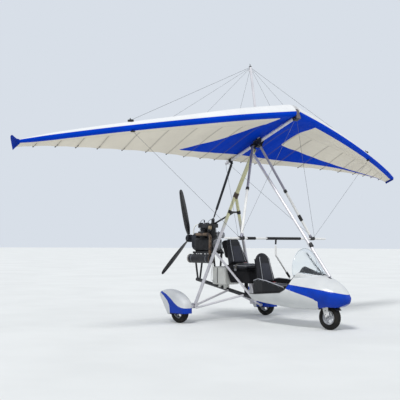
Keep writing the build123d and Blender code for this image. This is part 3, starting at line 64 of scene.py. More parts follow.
def craft(ahead: float, left: float, up: float) -> Array:
    """Point given ahead of the main axle, to the left and above the ground."""
    return np.array((AXLE_X + ahead, left, up), float)


@dataclass(frozen=True)
class WingFrame:
    """Frame on the hang bolt, pitched nose up as the wing stands when it is parked."""

    ahead: float = 0.633
    up: float = 2.647
    pitch: float = math.radians(22)

    def place(self, x: Array | float, y: Array | float, z: Array | float) -> Array:
        """Points given in the wing's own axes, turned by its pitch and moved to the hang bolt."""
        x, y, z = np.broadcast_arrays(x, y, z)
        cosine, sine = math.cos(self.pitch), math.sin(self.pitch)
        return np.stack((AXLE_X + self.ahead + x * cosine - z * sine, y, self.up + x * sine + z * cosine), axis=-1)

    def axes(self) -> tuple[Array, Array]:
        """The wing's own forward and upward directions."""
        middle = self.place(0, 0, 0)
        return self.place(1, 0, 0) - middle, self.place(0, 0, 1) - middle


WING = WingFrame()


def unit(vector: Array) -> Array:
    """Vectors divided by their lengths."""
    vector = np.asarray(vector, float)
    return vector / np.linalg.norm(vector, axis=-1, keepdims=True)


def spare_axis(direction: Array) -> Array:
    """World axis that is furthest from one or more directions."""
    return np.eye(3)[np.argmin(np.abs(np.atleast_2d(direction)).max(axis=0))]


def hermite(knots: Array, values: Array, at: Array) -> Array:
    """Smooth values between knots: cubic spans whose slope at a knot is that of its two neighbours.

    Args:
        knots: rising places, (K,).
        values: value at each knot, (K, ...).
        at: places asked for, (N,).

    Returns:
        Values at those places, (N, ...).
    """
    knots, values, at = (np.asarray(a, float) for a in (knots, values, at))
    shape = (-1,) + (1,) * (values.ndim - 1)
    step = np.diff(knots).reshape(shape)
    chord = np.diff(values, axis=0) / step
    slope = np.concatenate([chord[:1], (values[2:] - values[:-2]) / (step[1:] + step[:-1]), chord[-1:]])
    span = np.clip(np.searchsorted(knots, at, side="right") - 1, 0, len(knots) - 2)
    width = step[span]
    t = (at - knots[span]).reshape(shape) / width
    return ((2 * t**3 - 3 * t**2 + 1) * values[span] + (t**3 - 2 * t**2 + t) * width * slope[span]
            + (3 * t**2 - 2 * t**3) * values[span + 1] + (t**3 - t**2) * width * slope[span + 1])


def smooth_path(corners: Array, steps: int = 8) -> Array:
    """Line through corners, rounded by cubic spans over the distance between them."""
    corners = np.asarray(corners, float)
    knots = np.concatenate([[0], np.cumsum(np.linalg.norm(np.diff(corners, axis=0), axis=1))])
    return hermite(knots, corners, np.linspace(0, knots[-1], steps * (len(corners) - 1) + 1))


def eased(line: Array, times: int = 1) -> Array:
    """Line whose inner points are each drawn halfway to the middle of their neighbours."""
    for _ in range(times):
        line = np.concatenate([line[:1], 0.5 * line[1:-1] + 0.25 * (line[:-2] + line[2:]), line[-1:]])
    return line


def soft_box(half_x: float, half_y: float, power: float) -> Array:
    """Box with rounded corners: a circle's cosine and sine raised to a small power, (72, 2)."""
    turn = np.linspace(0, 2 * np.pi, 72, endpoint=False)
    circle = np.stack((np.cos(turn), np.sin(turn)), axis=-1)
    return np.sign(circle) * np.abs(circle) ** power * (half_x, half_y)


def circle_arc(first: Array, middle: Array, last: Array, share: Array) -> Array:
    """Arcs through three points in a plane.

    The centre is where the perpendicular bisectors cross, and the angle runs evenly from first to last.

    Args:
        first, middle, last: points, (N, 2) each.
        share: shares of the arc, (M,).

    Returns:
        Points, (N, M, 2).
    """
    bx, by = (middle - first).T
    cx, cy = (last - first).T
    d = 2 * (bx * cy - by * cx)
    d = np.where(np.abs(d) < 1e-12, 1e-12, d)
    ux = (cy * (bx**2 + by**2) - by * (cx**2 + cy**2)) / d
    uy = (bx * (cx**2 + cy**2) - cx * (bx**2 + by**2)) / d
    centre = first + np.stack((ux, uy), axis=-1)
    angles = [np.arctan2(*(p - centre).T[::-1]) for p in (first, middle, last)]
    mid = np.mod(angles[1] - angles[0], 2 * np.pi)
    end = np.mod(angles[2] - angles[0], 2 * np.pi)
    end = np.where(mid > end, end - 2 * np.pi, end)
    turn = angles[0][:, None] + end[:, None] * share[None]
    radius = np.hypot(ux, uy)[:, None, None]
    return centre[:, None] + radius * np.stack((np.cos(turn), np.sin(turn)), axis=-1)


@dataclass
class Form:
    """Points and faces of one surface, with values marked on its points."""

    points: Array
    faces: list[Array]
    marks: dict[str, Array] = field(default_factory=dict)

    def __add__(self, other: "Form") -> "Form":
        """Both forms as one."""
        marks = {k: np.concatenate([self.marks[k], other.marks[k]]) for k in self.marks if k in other.marks}
        return Form(np.concatenate([self.points, other.points]),
                    self.faces + [f + len(self.points) for f in other.faces], marks)

    def mirrored(self) -> "Form":
        """Same form on the other side of the aircraft."""
        return Form(self.points * (1, -1, 1), [f[:, ::-1] for f in self.faces], dict(self.marks))

    def both(self) -> "Form":
        """This form and its mirror image."""
        return self + self.mirrored()

    def moved(self, by: Array) -> "Form":
        """Same form carried by a vector."""
        return Form(self.points + np.asarray(by, float), self.faces, dict(self.marks))


def joined(forms: list[Form]) -> Form:
    """Several forms as one."""
    whole = forms[0]
    for form in forms[1:]:
        whole = whole + form
    return whole


def grid(points: Array, wrap: bool = False, capped: bool = False, marks: dict[str, Array] | None = None) -> Form:
    """Surface through a grid of points.

    Args:
        points: rows of points, (rows, columns, 3).
        wrap: the last column joins the first.
        capped: the first and last rows are closed by a face each.
        marks: values on the points, each (rows, columns) or (rows, columns, 2).

    Returns:
        The surface.
    """
    rows, columns = points.shape[:2]
    index = np.arange(rows * columns).reshape(rows, columns)
    ring = np.concatenate([index, index[:, :1]], axis=1) if wrap else index
    faces = [np.stack([ring[:-1, :-1], ring[:-1, 1:], ring[1:, 1:], ring[1:, :-1]], axis=-1).reshape(-1, 4)]
    if capped:
        faces += [index[:1, ::-1], index[-1:]]
    flat = {k: v.reshape(rows * columns, *v.shape[2:]) for k, v in (marks or {}).items()}
    return Form(points.reshape(-1, 3), faces, flat)


def sweep(path: Array, radius: float | Array, sides: int = 12, flat: float = 1.0, hint: Array | None = None,
          wrap: bool = False) -> Form:
    """Tube along a path: each point plus radius times (cos a * side + flat * sin a * lift).

    Args:
        path: centre line, (N, 3).
        radius: radius, one for all or one for each point.
        sides: faces round the tube.
        flat: height over width of the section.
        hint: direction that the section's lift keeps near.
        wrap: the path is a closed ring.

    Returns:
        The tube, closed at its ends unless it is a ring.
    """
    path = np.asarray(path, float)
    if wrap:
        run = unit(np.roll(path, -1, axis=0) - np.roll(path, 1, axis=0))
    else:
        run = unit(np.gradient(path, axis=0))
    hint = spare_axis(run) if hint is None else np.asarray(hint, float)
    side = unit(np.cross(run, hint))
    lift = np.cross(side, run)
    turn = np.linspace(0, 2 * np.pi, sides, endpoint=False)[None, :, None]
    size = np.broadcast_to(radius, len(path))[:, None, None]
    points = path[:, None] + size * (np.cos(turn) * side[:, None] + flat * np.sin(turn) * lift[:, None])
    if wrap:
        return grid(np.concatenate([points, points[:1]]), wrap=True)
    return grid(points, wrap=True, capped=True)


def lathe(profile: Array, centre: Array, axis: Array, sides: int = 40, ring: bool = False) -> Form:
    """Surface of revolution: each profile row is a distance along the axis and a radius.

    A ring's profile is a closed line, and any other is closed by a face at each end.
    """
    profile = np.asarray(profile, float)
    axis = unit(axis)
    side = unit(np.cross(axis, spare_axis(axis)))
    turn = np.linspace(0, 2 * np.pi, sides, endpoint=False)[:, None]
    circle = np.cos(turn) * side + np.sin(turn) * np.cross(axis, side)
    points = np.asarray(centre, float) + profile[:, :1, None] * axis + profile[:, 1:, None] * circle[None]
    if ring:
        return grid(np.concatenate([points, points[:1]]), wrap=True)
    return grid(points, wrap=True, capped=True)


def block(centre: Array, half: Array, axes: Array | None = None, corner: float = 0.4, steps: int = 8) -> Form:
    """Rounded block: a ball's sines and cosines raised to a small power, which fills the box's corners."""
    down = np.linspace(-np.pi / 2, np.pi / 2, steps)
    turn = np.linspace(-np.pi, np.pi, 2 * steps, endpoint=False) + np.pi / (2 * steps)

    def swell(value: Array) -> Array:
        """Value's root, with its sign kept."""
        return np.sign(value) * np.abs(value) ** corner

    x = swell(np.cos(down))[:, None] * swell(np.cos(turn))[None]
    y = swell(np.cos(down))[:, None] * swell(np.sin(turn))[None]
    z = np.broadcast_to(swell(np.sin(down))[:, None], x.shape)
    local = np.stack((x, y, z), axis=-1) * np.asarray(half, float)
    axes = np.eye(3) if axes is None else np.asarray(axes, float)
    return grid(np.asarray(centre, float) + local @ axes, wrap=True, capped=True)


def plate(outline: Array, thickness: float, origin: Array, across: Array, along: Array, edge: float = 0.0015) -> Form:
    """Flat plate with eased edges: its outline drawn in towards its middle on both faces.

    Args:
        outline: corners in the plate's plane, (N, 2).
        thickness: plate's thickness, centred on its plane.
        origin: place of the outline's zero.
        across, along: the plane's axes.
        edge: width of the eased edge.

    Returns:
        The closed plate.
    """
    outline = np.asarray(outline, float)
    middle = outline.mean(axis=0)
    reach = np.linalg.norm(outline - middle, axis=1, keepdims=True)
    inner = middle + (outline - middle) * (1 - edge / reach)
    across, along = unit(across), unit(along)
    lift = np.cross(across, along)
    rings = ((inner, -thickness / 2), (outline, edge - thickness / 2), (outline, thickness / 2 - edge),
             (inner, thickness / 2))
    points = np.stack([np.asarray(origin) + ring[:, :1] * across + ring[:, 1:] * along + height * lift
                       for ring, height in rings])
    return grid(points, wrap=True, capped=True)


def nut(centre: Array, axis: Array, across: float = 0.013, height: float = 0.007) -> Form:
    """Hexagonal nut with eased corners and its bolt's end."""
    r = across / math.sqrt(3)
    head = lathe([(0, r * 0.9), (height * 0.12, r), (height * 0.85, r), (height, r * 0.88)], centre, axis, 6)
    tip = lathe([(height, across * 0.26), (height * 1.35, across * 0.26), (height * 1.5, across * 0.2)],
                centre, axis, 12)
    return head + tip


def nut_circle(centre: Array, out: Array, radius: float, count: int, start: float, across: float,
               height: float) -> list[Form]:
    """Nuts spread evenly round an axis that lies along X or Y, from a first turn above the level."""
    level = Y_AXIS if out[0] else X_AXIS
    return [nut(centre + radius * (math.cos(turn) * level + math.sin(turn) * Z_AXIS), out, across, height)
            for turn in start + np.arange(count) * 2 * np.pi / count]


def bar(start: Array, end: Array, radius: float, sides: int = 12) -> Form:
    """Straight round bar with eased ends."""
    start, end = np.asarray(start, float), np.asarray(end, float)
    run = unit(end - start)
    ease = min(radius * 0.3, np.linalg.norm(end - start) * 0.2)
    path = np.stack([start, start + run * ease, end - run * ease, end])
    return sweep(path, np.array((radius - ease, radius, radius, radius - ease)), sides)


def pipe(corners: Table, radius: float, sides: int = 10) -> Form:
    """Hose through corners, each given ahead of the main axle, to the left and above the ground."""
    return sweep(smooth_path(np.stack([craft(*corner) for corner in corners]), 9), radius, sides)


def collar(centre: Array, axis: Array, half: float, inner: float, outer: float, ease: float = 0.002,
           sides: int = 28, ring: bool = True) -> Form:
    """Band round a bar: it rises from an inner to an outer radius over an eased edge."""
    profile = [(-half, inner), (ease - half, outer), (half - ease, outer), (half, inner)]
    return lathe(profile, centre, axis, sides, ring)


def linear(colour: Colour) -> tuple[float, float, float, float]:
    """Screen colour of 0 to 255 as the linear colour that a shader's socket takes."""
    share = np.asarray(colour, float) / 255
    value = np.where(share <= 0.04045, share / 12.92, ((share + 0.055) / 1.055) ** 2.4)
    return (*value.tolist(), 1.0)


class Weave:
    """Node tree of one material, with short calls that add nodes and join them."""

    def __init__(self, name: str) -> None:
        """Starts a material with a shader and its output."""
        self.material = bpy.data.materials.new(name)
        self.material.use_nodes = True
        self.tree = self.material.node_tree
        self.tree.nodes.clear()
        self.shader = self.node("ShaderNodeBsdfPrincipled")
        output = self.node("ShaderNodeOutputMaterial")
        self.tree.links.new(self.shader.outputs[0], output.inputs[0])
        self.place = self.node("ShaderNodeTexCoord").outputs["Object"]

    def node(self, kind: str, **settings: object) -> bpy.types.Node:
        """Adds a node and sets its properties."""
        node = self.tree.nodes.new(kind)
        for key, value in settings.items():
            setattr(node, key, value)
        return node

    def feed(self, socket: Socket, value: object) -> None:
        """Sets a socket to a constant, or links it to an output."""
        if isinstance(value, Socket):
            self.tree.links.new(value, socket)
        else:
            socket.default_value = value

    def set(self, **values: object) -> None:
        """Feeds the shader's sockets; an underscore in a name stands for a space."""
        for key, value in values.items():
            self.feed(self.shader.inputs[key.replace("_", " ")], value)

    def mark(self, name: str) -> Socket:
        """Value marked on the piece's points."""
        return self.node("ShaderNodeAttribute", attribute_name=name).outputs["Fac"]

    def noise(self, scale: float, detail: float = 4.0, rough: float = 0.55,
              stretch: tuple[float, float, float] = (1, 1, 1)) -> Socket:
        """Soft mottle in object space, which may be drawn out along an axis."""
        where = self.node("ShaderNodeMapping")
        where.inputs["Scale"].default_value = stretch
        self.feed(where.inputs["Vector"], self.place)
        node = self.node("ShaderNodeTexNoise")
        node.inputs["Scale"].default_value = scale
        node.inputs["Detail"].default_value = detail
        node.inputs["Roughness"].default_value = rough
        self.feed(node.inputs["Vector"], where.outputs[0])
        return node.outputs["Fac"]

    def cells(self, scale: float) -> Socket:
        """Distance to the nearest of many scattered points: a leather-like grain."""
        node = self.node("ShaderNodeTexVoronoi")
        node.inputs["Scale"].default_value = scale
        self.feed(node.inputs["Vector"], self.place)
        return node.outputs["Distance"]

    def span(self, value: Socket, low: float, high: float, to_low: float = 0.0,
             to_high: float = 1.0, smooth: bool = False) -> Socket:
        """Carries a value from one range to another."""
        node = self.node("ShaderNodeMapRange", interpolation_type="SMOOTHSTEP" if smooth else "LINEAR")
        for key, number in zip(("From Min", "From Max", "To Min", "To Max"), (low, high, to_low, to_high)):
            node.inputs[key].default_value = number
        self.feed(node.inputs["Value"], value)
        return node.outputs[0]

    def sum(self, kind: str, a: object, b: object = 0.0) -> Socket:
        """Arithmetic on one or two values."""
        node = self.node("ShaderNodeMath", operation=kind)
        self.feed(node.inputs[0], a)
        self.feed(node.inputs[1], b)
        return node.outputs[0]

    def blend(self, share: object, first: object, second: object) -> Socket:
        """Mixes two colours by a share."""
        node = self.node("ShaderNodeMix", data_type="RGBA")
        self.feed(node.inputs[0], share)
        self.feed(node.inputs[6], first)
        self.feed(node.inputs[7], second)
        return node.outputs[2]

    def relief(self, height: Socket, depth: float,
               below: Socket | None = None) -> Socket:
        """Surface relief from a height, on top of an earlier relief."""
        node = self.node("ShaderNodeBump")
        node.inputs["Strength"].default_value = 1.0
        node.inputs["Distance"].default_value = depth
        self.feed(node.inputs["Height"], height)
        if below is not None:
            self.feed(node.inputs["Normal"], below)
        return node.outputs[0]


@dataclass(frozen=True)
class Finish:
    """Painted, moulded or bare surface: two tones of one colour, a grain, and a gloss that varies."""

    name: str
    tone: Colour
    second: Colour
    gloss: tuple[float, float] = (0.35, 0.5)
    metal: float = 0.0
    coat: float = 0.0
    patch: float = 7.0
    grain: float = 350.0
    relief: float = 0.00012
    shine: float = 0.35
    grime: Colour = (70, 62, 52)
    grime_share: float = 0.12

    def base(self, weave: Weave) -> Socket:
        """Colour before the grime: the two tones mixed by a soft mottle."""
        return weave.blend(weave.span(weave.noise(self.patch), 0.35, 0.65), linear(self.tone), linear(self.second))

    def dress(self, weave: Weave) -> None:
        """Adds what one kind of finish has over the plain one."""

    def material(self) -> bpy.types.Material:
        """The finish's material, made once."""
        name = f"{self.name}_finish"
        found = bpy.data.materials.get(name)
        if found is not None:
            return found
        weave = Weave(name)
        spots = weave.span(weave.noise(self.patch * 2.3, 6.0, 0.65), 0.52, 0.78, 0.0, self.grime_share)
        weave.set(Base_Color=weave.blend(spots, self.base(weave), linear(self.grime)),
                  Roughness=weave.span(weave.noise(self.patch * 4, 3.0), 0.3, 0.7, *self.gloss),
                  Metallic=self.metal, Coat_Weight=self.coat, Coat_Roughness=0.08,
                  Specular_IOR_Level=self.shine,
                  Normal=weave.relief(weave.noise(self.grain, 2.0), self.relief))
        self.dress(weave)
        return weave.material


@dataclass(frozen=True)
class Drawn(Finish):
    """Drawn tube: fine scratches and a faint cloudiness in the metal."""

    def dress(self, weave: Weave) -> None:
        """Adds long fine scratches to the gloss and the relief."""
        lines = weave.noise(60.0, 3.0, 0.7, (1.0, 1.0, 14.0))
        weave.set(Roughness=weave.span(lines, 0.3, 0.7, *self.gloss), Normal=weave.relief(lines, self.relief * 2))


@dataclass(frozen=True)
class Legs(Drawn):
    """Drawn tube whose upper end is cream, parted from the silver by a soft change in height."""

    cream: Colour = (206, 204, 164)
    change: tuple[float, float] = (1.42, 1.62)

    def base(self, weave: Weave) -> Socket:
        """Silver below and cream above."""
        apart = weave.node("ShaderNodeSeparateXYZ")
        weave.feed(apart.inputs[0], weave.node("ShaderNodeTexCoord").outputs["Object"])
        high = weave.span(apart.outputs["Z"], *self.change)
        return weave.blend(high, super().base(weave), linear(self.cream))


@dataclass(frozen=True)
class Banded(Finish):
    """Moulded skin in two colours, parted at a line marked on the piece, with a darker skirt."""

    band: Colour = (0, 56, 172)
    skirt: Colour = (4, 16, 74)

    def base(self, weave: Weave) -> Socket:
        """White and band colours on the two sides of the marked line, over the skirt's own line."""
        white = super().base(weave)
        cloud = weave.span(weave.noise(5.0), 0.35, 0.65)
        deep = tuple(int(c * 0.86) for c in self.band)
        blue = weave.blend(cloud, linear(self.band), linear(deep))
        parted = weave.blend(weave.span(weave.mark("band"), -0.0006, 0.0006), white, blue)
        return weave.blend(weave.span(weave.mark("skirt"), -0.0008, 0.0008), parted, linear(self.skirt))


@dataclass(frozen=True)
class Cloth(Finish):
    """Sailcloth: crossed threads, seams beside the battens, a double edge, parted colours, painted shade along the
    battens, and a cream underside whose brightness is painted light.
    """

    # Cream underside, nearly as bright as the top's white though it faces the ground: painted light, standing in for
    # sunlight through the cloth and light from the ground.
    under: Colour = (230, 223, 208)
    blue: Colour = (0, 62, 194)
    blue_second: Colour = (0, 54, 176)
    # Colour of the stitch lines and the double edge's line, and also of the painted shadow and painted shade along the
    # battens.
    seam_and_shade: Colour = (104, 98, 88)
    thread: float = 900.0

    def base(self, weave: Weave) -> Socket:
        """White above and cream below, parted from the blue at the marked line. Seams are drawn in, with a painted
        shadow line and painted shade along each batten. The cream is made nearly as bright as the white, as painted
        light through the cloth and from the ground.
        """
        cloud = weave.span(weave.noise(1.7, 5.0, 0.6), 0.3, 0.7)
        top = weave.blend(cloud, linear(self.tone), linear(self.second))
        low = tuple(int(c * 0.955) for c in self.under)
        # Underside colour, brightened by painted light.
        lit_underside = weave.blend(cloud, linear(self.under), linear(low))
        pale = weave.blend(weave.mark("under"), top, lit_underside)
        blue = weave.blend(cloud, linear(self.blue), linear(self.blue_second))
        parted = weave.blend(weave.span(weave.mark("blue"), -0.0015, 0.0015), pale, blue)
        batten = weave.mark("batten")
        seam = weave.sum("ABSOLUTE", weave.sum("SUBTRACT", batten, 0.015))
        line = weave.span(seam, 0.0008, 0.0022, 0.22, 0.0)
        hem = weave.span(weave.sum("ABSOLUTE", weave.mark("hem")), 0.001, 0.004, 0.3, 0.0)
        # Painted shadow: a dark line along each batten's ridge, and painted shade that fades over 5 cm either side of
        # it.
        ridge = weave.span(batten, 0.004, 0.0085, 0.62, 0.0)
        painted_batten_shade = weave.span(batten, 0.0, 0.05, 0.14, 0.0, smooth=True)
        marked = weave.sum("MAXIMUM", weave.sum("MAXIMUM", line, hem), weave.sum("MAXIMUM", ridge, painted_batten_shade))
        return weave.blend(marked, parted, linear(self.seam_and_shade))

    def dress(self, weave: Weave) -> None:
        """Adds crossed threads and pulled folds between the battens."""
        where = weave.node("ShaderNodeUVMap").outputs[0]
        waves = []
        for direction in ("X", "Y"):
            wave = weave.node("ShaderNodeTexWave", bands_direction=direction)
            wave.inputs["Scale"].default_value = self.thread / 20
            weave.feed(wave.inputs["Vector"], where)
            waves.append(wave.outputs["Fac"])
        threads = weave.relief(weave.sum("ADD", *waves), 0.00006)
        folds = weave.relief(weave.noise(2.2, 3.0, 0.5, (1.0, 3.4, 1.0)), 0.011, threads)
        creases = weave.relief(weave.noise(9.0, 2.0, 0.5, (0.5, 2.2, 1.0)), 0.0016, folds)
        weave.set(Normal=creases)


@dataclass(frozen=True)
class Hide(Finish):
    """Coated seat cloth: pebbled grain, a paler middle panel marked on the pad, and soft sheen."""

    panel: Colour = (50, 52, 62)

    def base(self, weave: Weave) -> Socket:
        """Side and middle tones, parted at the marked panel."""
        side = super().base(weave)
        return weave.blend(weave.span(weave.mark("panel"), -0.001, 0.001), side, linear(self.panel))

    def dress(self, weave: Weave) -> None:
        """Adds the pebbled grain over soft wrinkles."""
        wrinkle = weave.relief(weave.noise(28.0, 3.0), 0.0022)
        weave.set(Normal=weave.relief(weave.cells(650.0), 0.00035, wrinkle), Sheen_Weight=0.04)


@dataclass(frozen=True)
class Heated(Finish):
    """Bare exhaust steel: straw, brown and grey heat tints with rust blooms."""

    tints: tuple[Colour, ...] = ((58, 52, 50), (96, 78, 62), (128, 112, 96), (80, 66, 58), (52, 50, 50))

    def base(self, weave: Weave) -> Socket:
        """Heat tints along a ramp driven by a broad mottle."""
        ramp = weave.node("ShaderNodeValToRGB")
        stops = ramp.color_ramp.elements
        for place, tint in enumerate(self.tints):
            share = 0.3 + 0.4 * place / (len(self.tints) - 1)
            stop = stops[place] if place < 2 else stops.new(share)
            stop.position = share
            stop.color = linear(tint)
        weave.feed(ramp.inputs[0], weave.noise(9.0, 6.0, 0.6))
        return ramp.outputs[0]


@dataclass(frozen=True)
class Clear(Finish):
    """Clear or milky moulded sheet that lets light through."""

    through: float = 1.0
    bend: float = 1.45

    def dress(self, weave: Weave) -> None:
        """Opens the shader to light."""
        weave.set(Transmission_Weight=self.through, IOR=self.bend)


class Paint(Enum):
    """Finishes of the aircraft's pieces."""

    BLACK_TUBE = Finish("black_powder_coat", (26, 27, 30), (38, 39, 42), (0.32, 0.46), coat=0.2)
    CREAM_TUBE = Finish("cream_enamel", (204, 202, 160), (190, 187, 146), (0.3, 0.42), coat=0.3)
    SILVER_TUBE = Drawn("silver_anodising", (214, 212, 216), (196, 195, 200), (0.26, 0.42), metal=0.25,
                        grime_share=0.08)
    MAUVE_TUBE = Drawn("mauve_anodising", (150, 148, 160), (132, 130, 144), (0.26, 0.42), metal=0.4, grime_share=0.1)
    LEG_TUBE = Legs("leg_anodising", (214, 212, 216), (196, 195, 200), (0.26, 0.42), metal=0.2, grime_share=0.08)
    BRONZE = Finish("bronzed_cap", (96, 82, 70), (74, 64, 56), (0.4, 0.55), metal=0.3)
    TAN = Finish("tan_casting", (176, 158, 128), (150, 134, 108), (0.45, 0.6), patch=20.0, grime_share=0.2)
    WHITE_TUBE = Finish("white_enamel", (226, 226, 224), (212, 212, 210), (0.25, 0.36), coat=0.4)
    STEEL = Finish("plated_steel", (118, 120, 124), (92, 94, 98), (0.28, 0.5), metal=0.85)
    DARK_STEEL = Finish("dark_plated_steel", (52, 54, 60), (36, 38, 44), (0.3, 0.5), metal=0.6)
    POD = Banded("pod_gelcoat", (206, 208, 208), (196, 199, 200), (0.12, 0.2), patch=3.0, grime_share=0.06, shine=0.18)
    SPAT = Banded("spat_gelcoat", (208, 210, 212), (197, 200, 203), (0.16, 0.28), patch=4.0, grime_share=0.08,
                  shine=0.2)
    TUB = Finish("charcoal_moulding", (20, 21, 24), (29, 30, 33), (0.4, 0.58), relief=0.0003, shine=0.2)
    PANEL = Finish("black_instrument_board", (20, 20, 22), (30, 30, 32), (0.5, 0.62), relief=0.0002)
    SCREEN = Clear("clear_screen", (246, 250, 252), (240, 246, 250), (0.02, 0.05), grime_share=0.0, relief=0.00001)
    TANK = Clear("milky_tank", (232, 232, 226), (218, 219, 213), (0.38, 0.5), through=0.12, grime_share=0.1)
    HIDE = Hide("charcoal_seat_cloth", (24, 25, 30), (32, 33, 38), (0.46, 0.6), grime_share=0.08, shine=0.22)
    PIPING = Finish("grey_piping", (176, 178, 184), (154, 156, 162), (0.45, 0.6))
    ENGINE = Finish("black_engine_enamel", (24, 25, 28), (40, 41, 45), (0.35, 0.6), patch=14.0,
                    relief=0.0005, grime_share=0.3)
    ALLOY = Finish("cast_alloy", (150, 151, 154), (122, 123, 127), (0.38, 0.58), metal=0.8, patch=18.0,
                   relief=0.0005, grime_share=0.3)
    PIPE = Heated("heat_tinted_steel", (150, 120, 90), (120, 96, 80), (0.45, 0.65), metal=0.55,
                  relief=0.0004, grime=(110, 62, 34), grime_share=0.45)
    SAIL = Cloth("sailcloth", (224, 225, 225), (214, 216, 218), (0.5, 0.64), grime_share=0.04, patch=1.3, shine=0.02)
    BLUE_CLOTH = Finish("blue_fin_cloth", (2, 44, 150), (1, 36, 126), (0.5, 0.62), relief=0.0002, shine=0.05)
    BLACK_CLOTH = Finish("black_cloth", (22, 22, 25), (32, 32, 35), (0.7, 0.85), grain=900.0, relief=0.0008,
                         shine=0.2)
    FOAM = Finish("black_foam", (24, 24, 26), (36, 36, 38), (0.75, 0.88), grain=900.0, relief=0.0009)
    WIRE = Finish("stranded_wire", (112, 114, 118), (80, 82, 86), (0.35, 0.5), metal=0.5, grain=1400.0,
                  relief=0.0004)
    BLADE = Finish("black_composite", (22, 23, 26), (34, 35, 38), (0.22, 0.34), coat=0.5, grain=700.0)
    GREY = Finish("grey_enamel", (168, 170, 172), (150, 152, 155), (0.3, 0.44), coat=0.2)
    RUBBER = Finish("tyre_rubber", (19, 19, 20), (31, 30, 29), (0.68, 0.85), relief=0.0005, shine=0.2,
                    grime=(92, 84, 66), grime_share=0.22)
    RIM = Finish("silver_rim_enamel", (202, 204, 208), (184, 186, 191), (0.28, 0.42), metal=0.15,
                 grime_share=0.2)
    BLACK_TRIM = Finish("black_moulded_trim", (26, 26, 28), (38, 38, 40), (0.45, 0.6), relief=0.0002)
    RED_TRIM = Finish("red_moulded_trim", (168, 28, 26), (142, 22, 22), (0.35, 0.5))
    WEBBING = Finish("grey_webbing", (86, 84, 80), (68, 66, 63), (0.6, 0.75), grain=1100.0, relief=0.0008)
    # Finish of the screen's bead and seal: its paleness is a painted highlight along the screen's edges.
    BEAD = Finish("highlight_painted_bead", (214, 220, 224), (198, 205, 210), (0.2, 0.3))
    TAUPE_CLOTH = Finish("taupe_cloth", (112, 104, 106), (92, 86, 88), (0.6, 0.75), grain=900.0, relief=0.0006,
                         shine=0.2)
    GLASS_DIAL = Finish("dial_face", (30, 32, 36), (40, 42, 46), (0.08, 0.14), coat=1.0)
    DIAL_MARK = Finish("dial_marks", (220, 222, 220), (205, 207, 205), (0.4, 0.5))

    def material(self) -> bpy.types.Material:
        """Material of this finish."""
        return self.value.material()


def make(name: str, form: Form | list[Form], body: str, paint: Paint, crease: float = 38.0,
         replaces: tuple[str, ...] = ()) -> Piece:
    """Puts a form into the scene as one piece on a body.

    Args:
        name: piece's name.
        form: its surface, or several; doubled points are merged and faces turned outwards.
        body: body that carries it.
        paint: its finish.
        crease: angle in degrees above which an edge stays sharp.
        replaces: nodes of the fixed model that it stands for.

    Returns:
        The piece.
    """
    form = joined(form) if isinstance(form, list) else form
    mesh = bpy.data.meshes.new(name)
    mesh.from_pydata(form.points.tolist(), [], [row for group in form.faces for row in group.tolist()])
    for key, values in form.marks.items():
        if key == "uv":
            corners = np.zeros(len(mesh.loops), int)
            mesh.loops.foreach_get("vertex_index", corners)
            mesh.uv_layers.new(name="UVMap").data.foreach_set("uv", values[corners].astype(np.float32).ravel())
        else:
            mesh.attributes.new(key, "FLOAT", "POINT").data.foreach_set("value", values.astype(np.float32))
    tidy = bmesh.new()
    tidy.from_mesh(mesh)
    bmesh.ops.remove_doubles(tidy, verts=tidy.verts, dist=1e-6)
    bmesh.ops.recalc_face_normals(tidy, faces=tidy.faces)
    tidy.to_mesh(mesh)
    tidy.free()
    mesh.shade_smooth()
    mesh.set_sharp_from_angle(angle=math.radians(crease))
    mesh.materials.append(paint.material())
    piece = bpy.data.objects.new(name, mesh)
    bpy.context.scene.collection.objects.link(piece)
    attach(piece, body)
    if replaces:
        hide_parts(*replaces)
    LOG.info("%s on %s: %d faces", name, body, len(mesh.polygons))
    return piece


def bake(piece: Piece) -> None:
    """Replaces a piece's mesh by what its modifiers make of it."""
    graph = bpy.context.evaluated_depsgraph_get()
    mesh = bpy.data.meshes.new_from_object(piece.evaluated_get(graph), preserve_all_data_layers=True, depsgraph=graph)
    piece.modifiers.clear()
    piece.data = mesh


def walled(piece: Piece, thickness: float, offset: float = -1.0) -> None:
    """Gives a sheet its thickness, inwards or, with an offset of 0, to both sides."""
    wall = piece.modifiers.new("wall", "SOLIDIFY")
    wall.thickness = thickness
    wall.offset = offset
    bake(piece)


def cut_with(piece: Piece, cutter: Form) -> None:
    """Applies a piece's modifiers and takes a form away from it."""
    tool = make("cutter", cutter, "trike", Paint.STEEL)
    cut = piece.modifiers.new("cut", "BOOLEAN")
    cut.operation = "DIFFERENCE"
    cut.solver = "EXACT"
    cut.use_self = True
    cut.object = tool
    bake(piece)
    bpy.data.objects.remove(tool)


def dropped(piece: Piece, path: Array) -> Array:
    """Path brought to the nearest places of a piece's surface."""
    tree = BVHTree.FromObject(piece, bpy.context.evaluated_depsgraph_get())
    return np.array([tree.find_nearest(Vector(point))[0] for point in path])


